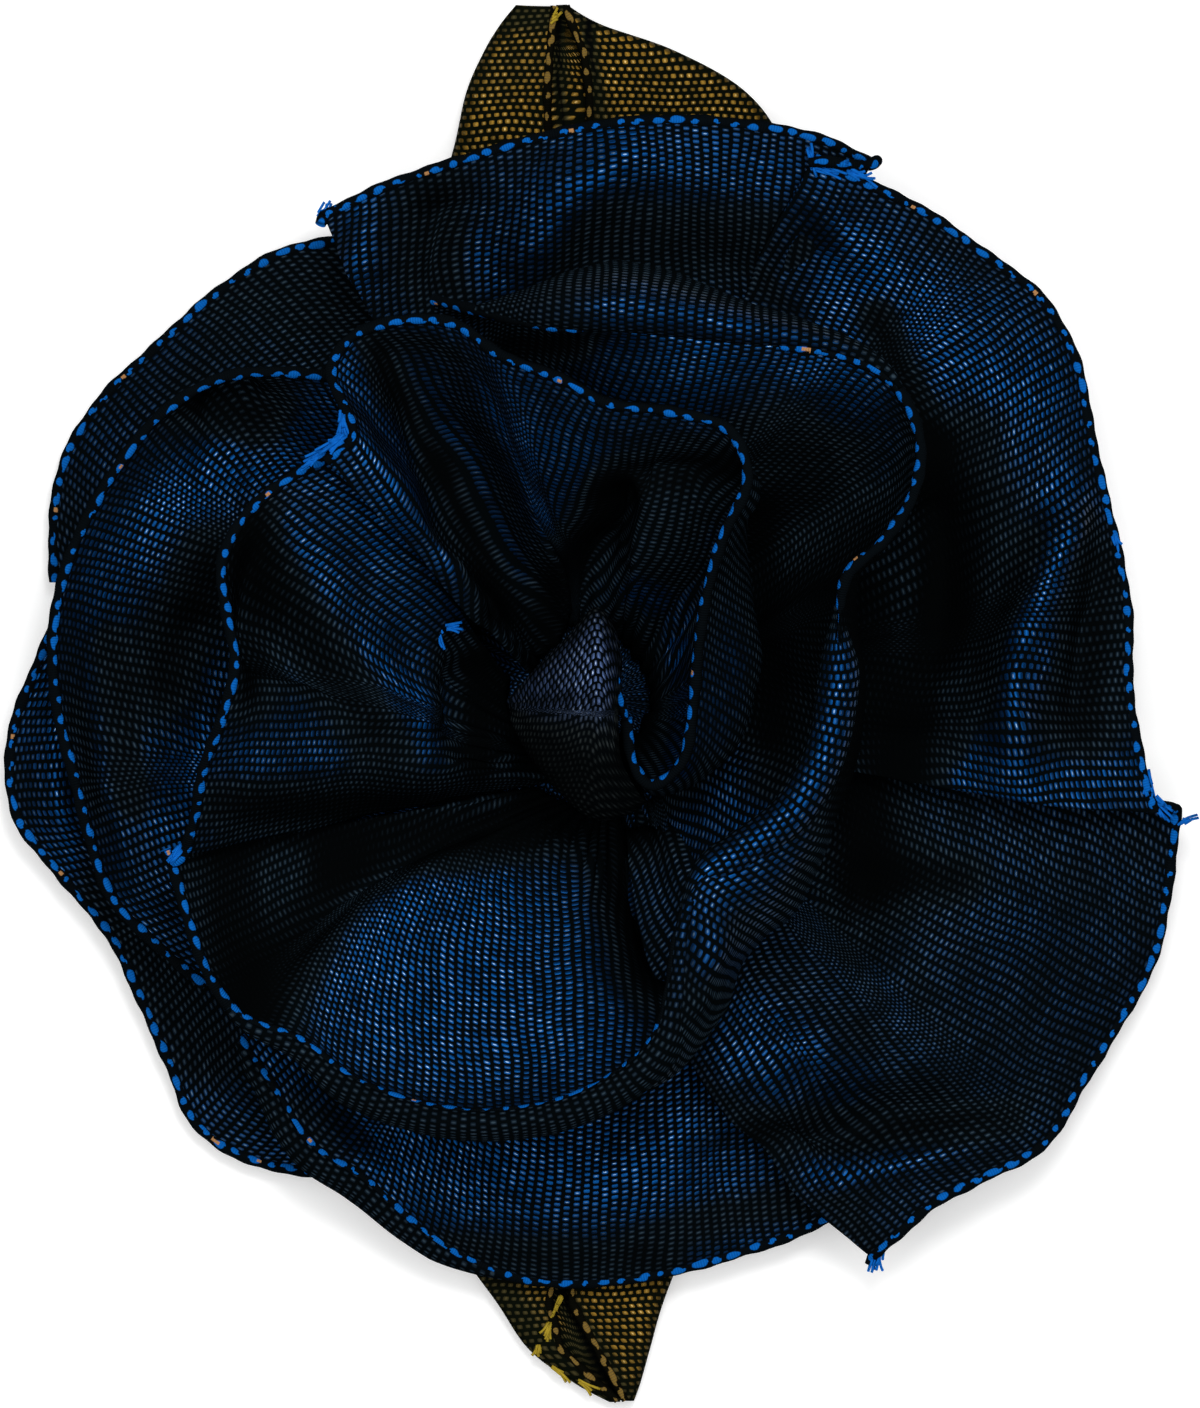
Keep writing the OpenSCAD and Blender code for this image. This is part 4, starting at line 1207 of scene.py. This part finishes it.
def collar_object(name, rim, along, places, rows):
    """A strip of cloth turned outwards and down from a rim."""
    at, reach, lit = np.array(rows).T
    ways = np.gradient(rim, axis=0)
    outward = unit(np.stack([ways[:, 1], -ways[:, 0], np.zeros(len(rim))], 1))
    inside = (places >= at[0]) & (places <= at[-1])
    reach = np.interp(places[inside], at, reach)[:, None]
    lit = np.interp(places[inside], at, lit)[:, None]
    a = np.radians(np.linspace(0, COLLAR_TURN, 22))[None]
    out = 0.5 * reach * (1 - np.cos(a))
    up = (0.3 * reach + 0.2) * np.sin(a) - 0.7 * reach * smooth((a - COLLAR_CREST) / 2)
    grid = rim[inside, None] + outward[inside, None] * out[..., None] + up[..., None] * UP
    # Painted highlight on its crest, as strong as its lit column says, and painted shade where it turns down
    painted_light = 0.22 + lit * np.exp(-((a - COLLAR_CREST) / 0.8) ** 2) - 0.08 * smooth(a - 2.0)
    return sheet_object(name, grid, along[inside, None], lengths(grid, 1), CLOTH_T, painted_light)


# The petals, each with its selvedge, and some with collars, a ridge or frayed threads
for number, (name, sizes) in enumerate(PETALS.items()):
    rows, folds, r0, r1, spring, tucks, straight, gather_from = sizes
    grid, places = petal_surface(rows, r0, r1, spring)
    grid, places = carried_on(grid, places, CARRIED_ON.get(name, 0))
    along, across = weave_places(grid, places, tucks, straight)
    grid = ripple(fold(grid, folds), along, across, gather_from)
    painted_light = painted_cloth_light(grid, *PAINTED_LIGHT_PATCHES[name], min(r0, r1))
    piece = sheet_object(name + "_ribbon", grid, along + PETAL_WEAVE * number, across, CLOTH_T, painted_light)
    dress(piece, blue_ribbon)
    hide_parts(name)
    radius = np.full(len(places), SELVEDGE_R)
    for first, last in HIDDEN_EDGES.get(name, []):
        radius *= 1 - 0.9 * smooth(4 * np.minimum(places - first, last - places))
    edge = edge_object(name, grid, radius, 1.0 + number)
    trims = [dress(edge, blue_edge, piece)]
    for rows in COLLARS.get(name, []):
        collar = collar_object(f"{name}_collar_{len(trims)}", grid[:, -1], along[:, -1], places, rows)
        trims.append(dress(collar, blue_ribbon, piece))
    if name in RIDGES:
        first, last = RIDGES[name]
        inside = (places > first) & (places < last)
        ridge = ridge_object(name + "_ridge", grid[inside, -1], along[inside, -1])
        trims.append(dress(ridge, blue_ribbon, piece))
    if name in FRAYS:
        tuft = tuft_object(name + "_threads", FRAYS[name])
        trims.append(dress(tuft, blue_thread, piece))
    length = float(lengths(grid, 0)[-1, [-1, ACROSS // 2]].mean())


def leaf_grid(rows, seam_rows):
    """A leaf's cross-sections, from selvedge to selvedge round its two folds."""
    count = int(abs(rows[-1][0] - rows[0][0]) / STEP_ALONG)
    y, left, right, z = curve(rows, count).T
    seam_y, seam_x, seam_half = np.array(sorted(seam_rows)).T
    seam = np.interp(y, seam_y, seam_x)
    slit = np.interp(y, seam_y, seam_half)
    r = LEAF_FOLD_R
    s = np.sign(rows[0][2] - rows[0][1])
    left_fold = left + s * r
    right_fold = right - s * r

    def upper(start, end, t):
        return [start + (end - start) * t, y, z + r * (1 + LEAF_CROWN * np.sin(math.pi * t))]

    over = np.linspace(0, 1, 14)
    under = np.linspace(0, 1, 26)[1:-1]
    turns = np.radians([90, 60, 30, 0, -30, -60, -90])
    loop = [upper(seam - s * slit, left_fold, t) for t in over[:-1]]
    loop += [[left_fold - s * r * np.cos(a), y, z + r * np.sin(a)] for a in turns]
    loop += [[left_fold + (right_fold - left_fold) * t, y, z - r] for t in under]
    loop += [[right_fold + s * r * np.cos(a), y, z + r * np.sin(a)] for a in turns[::-1]]
    loop += [upper(right_fold, seam + s * slit, t) for t in over[1:]]
    return np.stack([np.stack(point, 1) for point in loop], 1)


# The leaves, each with its two selvedges and frayed threads
for name, (rows, seam_rows) in LEAVES.items():
    grid = leaf_grid(rows, seam_rows)
    from_start = lengths(grid, 1)
    share = smooth((np.linspace(0, 1, grid.shape[1]) - 0.4) / 0.2)
    across = from_start * (1 - share) + (from_start[:, -1].mean() - from_rim(grid)) * share
    along = lengths(grid, 0)[:, LEAF_LINE:LEAF_LINE + 1]
    painted_light = painted_cloth_light(grid, *PAINTED_LIGHT_PATCHES[name])
    piece = sheet_object(name + "_ribbon", grid, along, across, CLOTH_T, painted_light)
    dress(piece, leaf_ribbon)
    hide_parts(name)
    for k, at in enumerate((0, -1)):
        edge = tube_object(f"{name}_selvedge_{k}", grid[:, at], UP,
                           LEAF_SELVEDGE_R, LEAF_CORD_SIDES, 3.0 + k, LEAF_CORD_WOBBLE)
        dress(edge, leaf_edge, piece)
    tuft = tuft_object(name + "_threads", LEAF_FRAYS[name])
    dress(tuft, gold_thread, piece)


def bud_grid():
    """The bud's cloth, from its foot over the ridge to its foot again."""
    rows = np.array(BUD_ROWS).reshape(-1, 4, 3)
    foot = rows[:, [0, 3]] * [0.35, 0.35, 0] + [0, 0.4, BUD_FOOT_Z]
    ridge = rows[:, 1:2]
    above = ridge * 0.88 + rows[:, 0:1] * 0.12
    below = ridge * 0.88 + rows[:, 2:3] * 0.12
    line = np.concatenate([foot[:, :1], rows[:, :1], above, below, rows[:, 2:], foot[:, 1:]], 1)
    sections = curve(line.reshape(len(rows), -1), 30).reshape(30, -1, 3)
    return np.stack([curve(points, 2 * RIDGE_AT) for points in sections])


grid = bud_grid()
across = lengths(grid, 0)[:, BUD_LINE:BUD_LINE + 1]
along = lengths(grid, 1)
below = smooth((along - along[:, RIDGE_AT:RIDGE_AT + 1]) / 0.4)
slanted = along - BUD_SLANT * below * (across - across[:1])
painted_light = painted_cloth_light(grid, *PAINTED_LIGHT_PATCHES["bud"])
bud = sheet_object("bud_ribbon", grid, slanted, across, CLOTH_T, painted_light)
dress(bud, bud_cloth)
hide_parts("bud")
bud_edge = tube_object("bud_selvedge", curve(BUD_EDGE, 50), np.array([0.5, 0.0, 1.0]),
                       BUD_SELVEDGE_R, CORD_SIDES, 0.7, CORD_WOBBLE)
dress(bud_edge, blue_edge, bud)


def base_grid():
    """The sewn base's skin: its profile turned round the hub, waved by its gathers."""
    r, z = curve(BASE_PROFILE, 70).T[:, None]
    turn = np.linspace(0, 2 * math.pi, 10 * BASE_GATHERS)[:, None]
    wave = np.sin(BASE_GATHERS * turn + 1.2 * np.sin(3 * turn) + 0.8 * np.sin(7 * turn + 1))
    lift = BASE_RELIEF * wave * smooth(r / 8) * (0.6 + 0.4 * np.sin(5 * turn + 2))
    inwards = np.where(z < BASE_RIM_Z, 1.0, -1.0)
    return np.stack([HUB[0] + r * np.cos(turn), HUB[1] + r * np.sin(turn),
                     z + inwards * (lift + BASE_RELIEF)], -1)


# The sewn base, with its rings of stitches
grid = base_grid()
turned = np.linspace(0, BASE_WEAVE, len(grid))[:, None]
painted_light = painted_cloth_light(grid, *PAINTED_LIGHT_PATCHES["sewn_base"])
base = sheet_object("sewn_base_cloth", grid, turned, lengths(grid, 1), BASE_T, painted_light)
dress(base, blue_ribbon)
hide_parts("sewn_base")
stitch_rows = []
for radius, count, length in STITCHES:
    for k in range(count):
        a = 2 * math.pi * (k + rng.uniform(-0.15, 0.15)) / count
        skew = rng.uniform(-0.3, 0.3)
        place = [HUB[0] + radius * math.cos(a), HUB[1] + radius * math.sin(a), STITCH_Z]
        way = [-math.sin(a + skew), math.cos(a + skew), 0.0]
        stitch_rows += 2 * [place + way + [STITCH_W, length, 1]]
dress(tuft_object("base_stitches", stitch_rows), navy_thread, base)

# The pin keeps its CAD shape and gets its steel
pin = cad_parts["bar_pin"]
pin.data.materials.clear()
pin.data.materials.append(steel)

# Floor, light and camera
bpy.ops.mesh.primitive_plane_add(size=3)
floor = bpy.context.object
floor.name = "floor"
floor.location = (0, 0, -0.0001)
floor_paint, tree, shader = new_material("floor_paint")
feed(shader, {
    "Base Color": (0.86, 0.86, 0.86),
    "Roughness": 0.8,
    "Emission Color": (1, 1, 1),
    "Emission Strength": 0.30,
})
floor.data.materials.append(floor_paint)


def area_light(name, place, target, size, power):
    light = bpy.data.lights.new(name, "AREA")
    light.shape = "DISK"
    light.size = size
    light.energy = power
    obj = bpy.data.objects.new(name, light)
    bpy.context.scene.collection.objects.link(obj)
    obj.location = place
    way = np.array(target) - np.array(place)
    obj.rotation_euler = (math.acos(-way[2] / np.linalg.norm(way)), 0,
                          math.atan2(way[1], way[0]) - math.pi / 2)


area_light("broad_light", (0.0, 0.06, 0.92), (0, 0, 0.01), size=1.4, power=11.0)
area_light("key_light", (0.06, 0.26, 0.92), (0, 0, 0.01), size=0.20, power=2.4)
world = bpy.data.worlds.new("studio")
world.use_nodes = True
feed(world.node_tree.nodes["Background"], {"Color": (1, 1, 1), "Strength": 0.10})
bpy.context.scene.world = world

# The camera looks straight down; its view is VIEW_H high at the height FOCUS_Z
camera_data = bpy.data.cameras.new("camera")
camera_data.lens = LENS
camera_data.sensor_width = SENSOR
camera_data.clip_end = 20
camera = bpy.data.objects.new("camera", camera_data)
bpy.context.scene.collection.objects.link(camera)
camera.location = (0, 0, VIEW_H * LENS / SENSOR + FOCUS_Z)
bpy.context.scene.camera = camera
bpy.context.scene.view_settings.view_transform = "Standard"
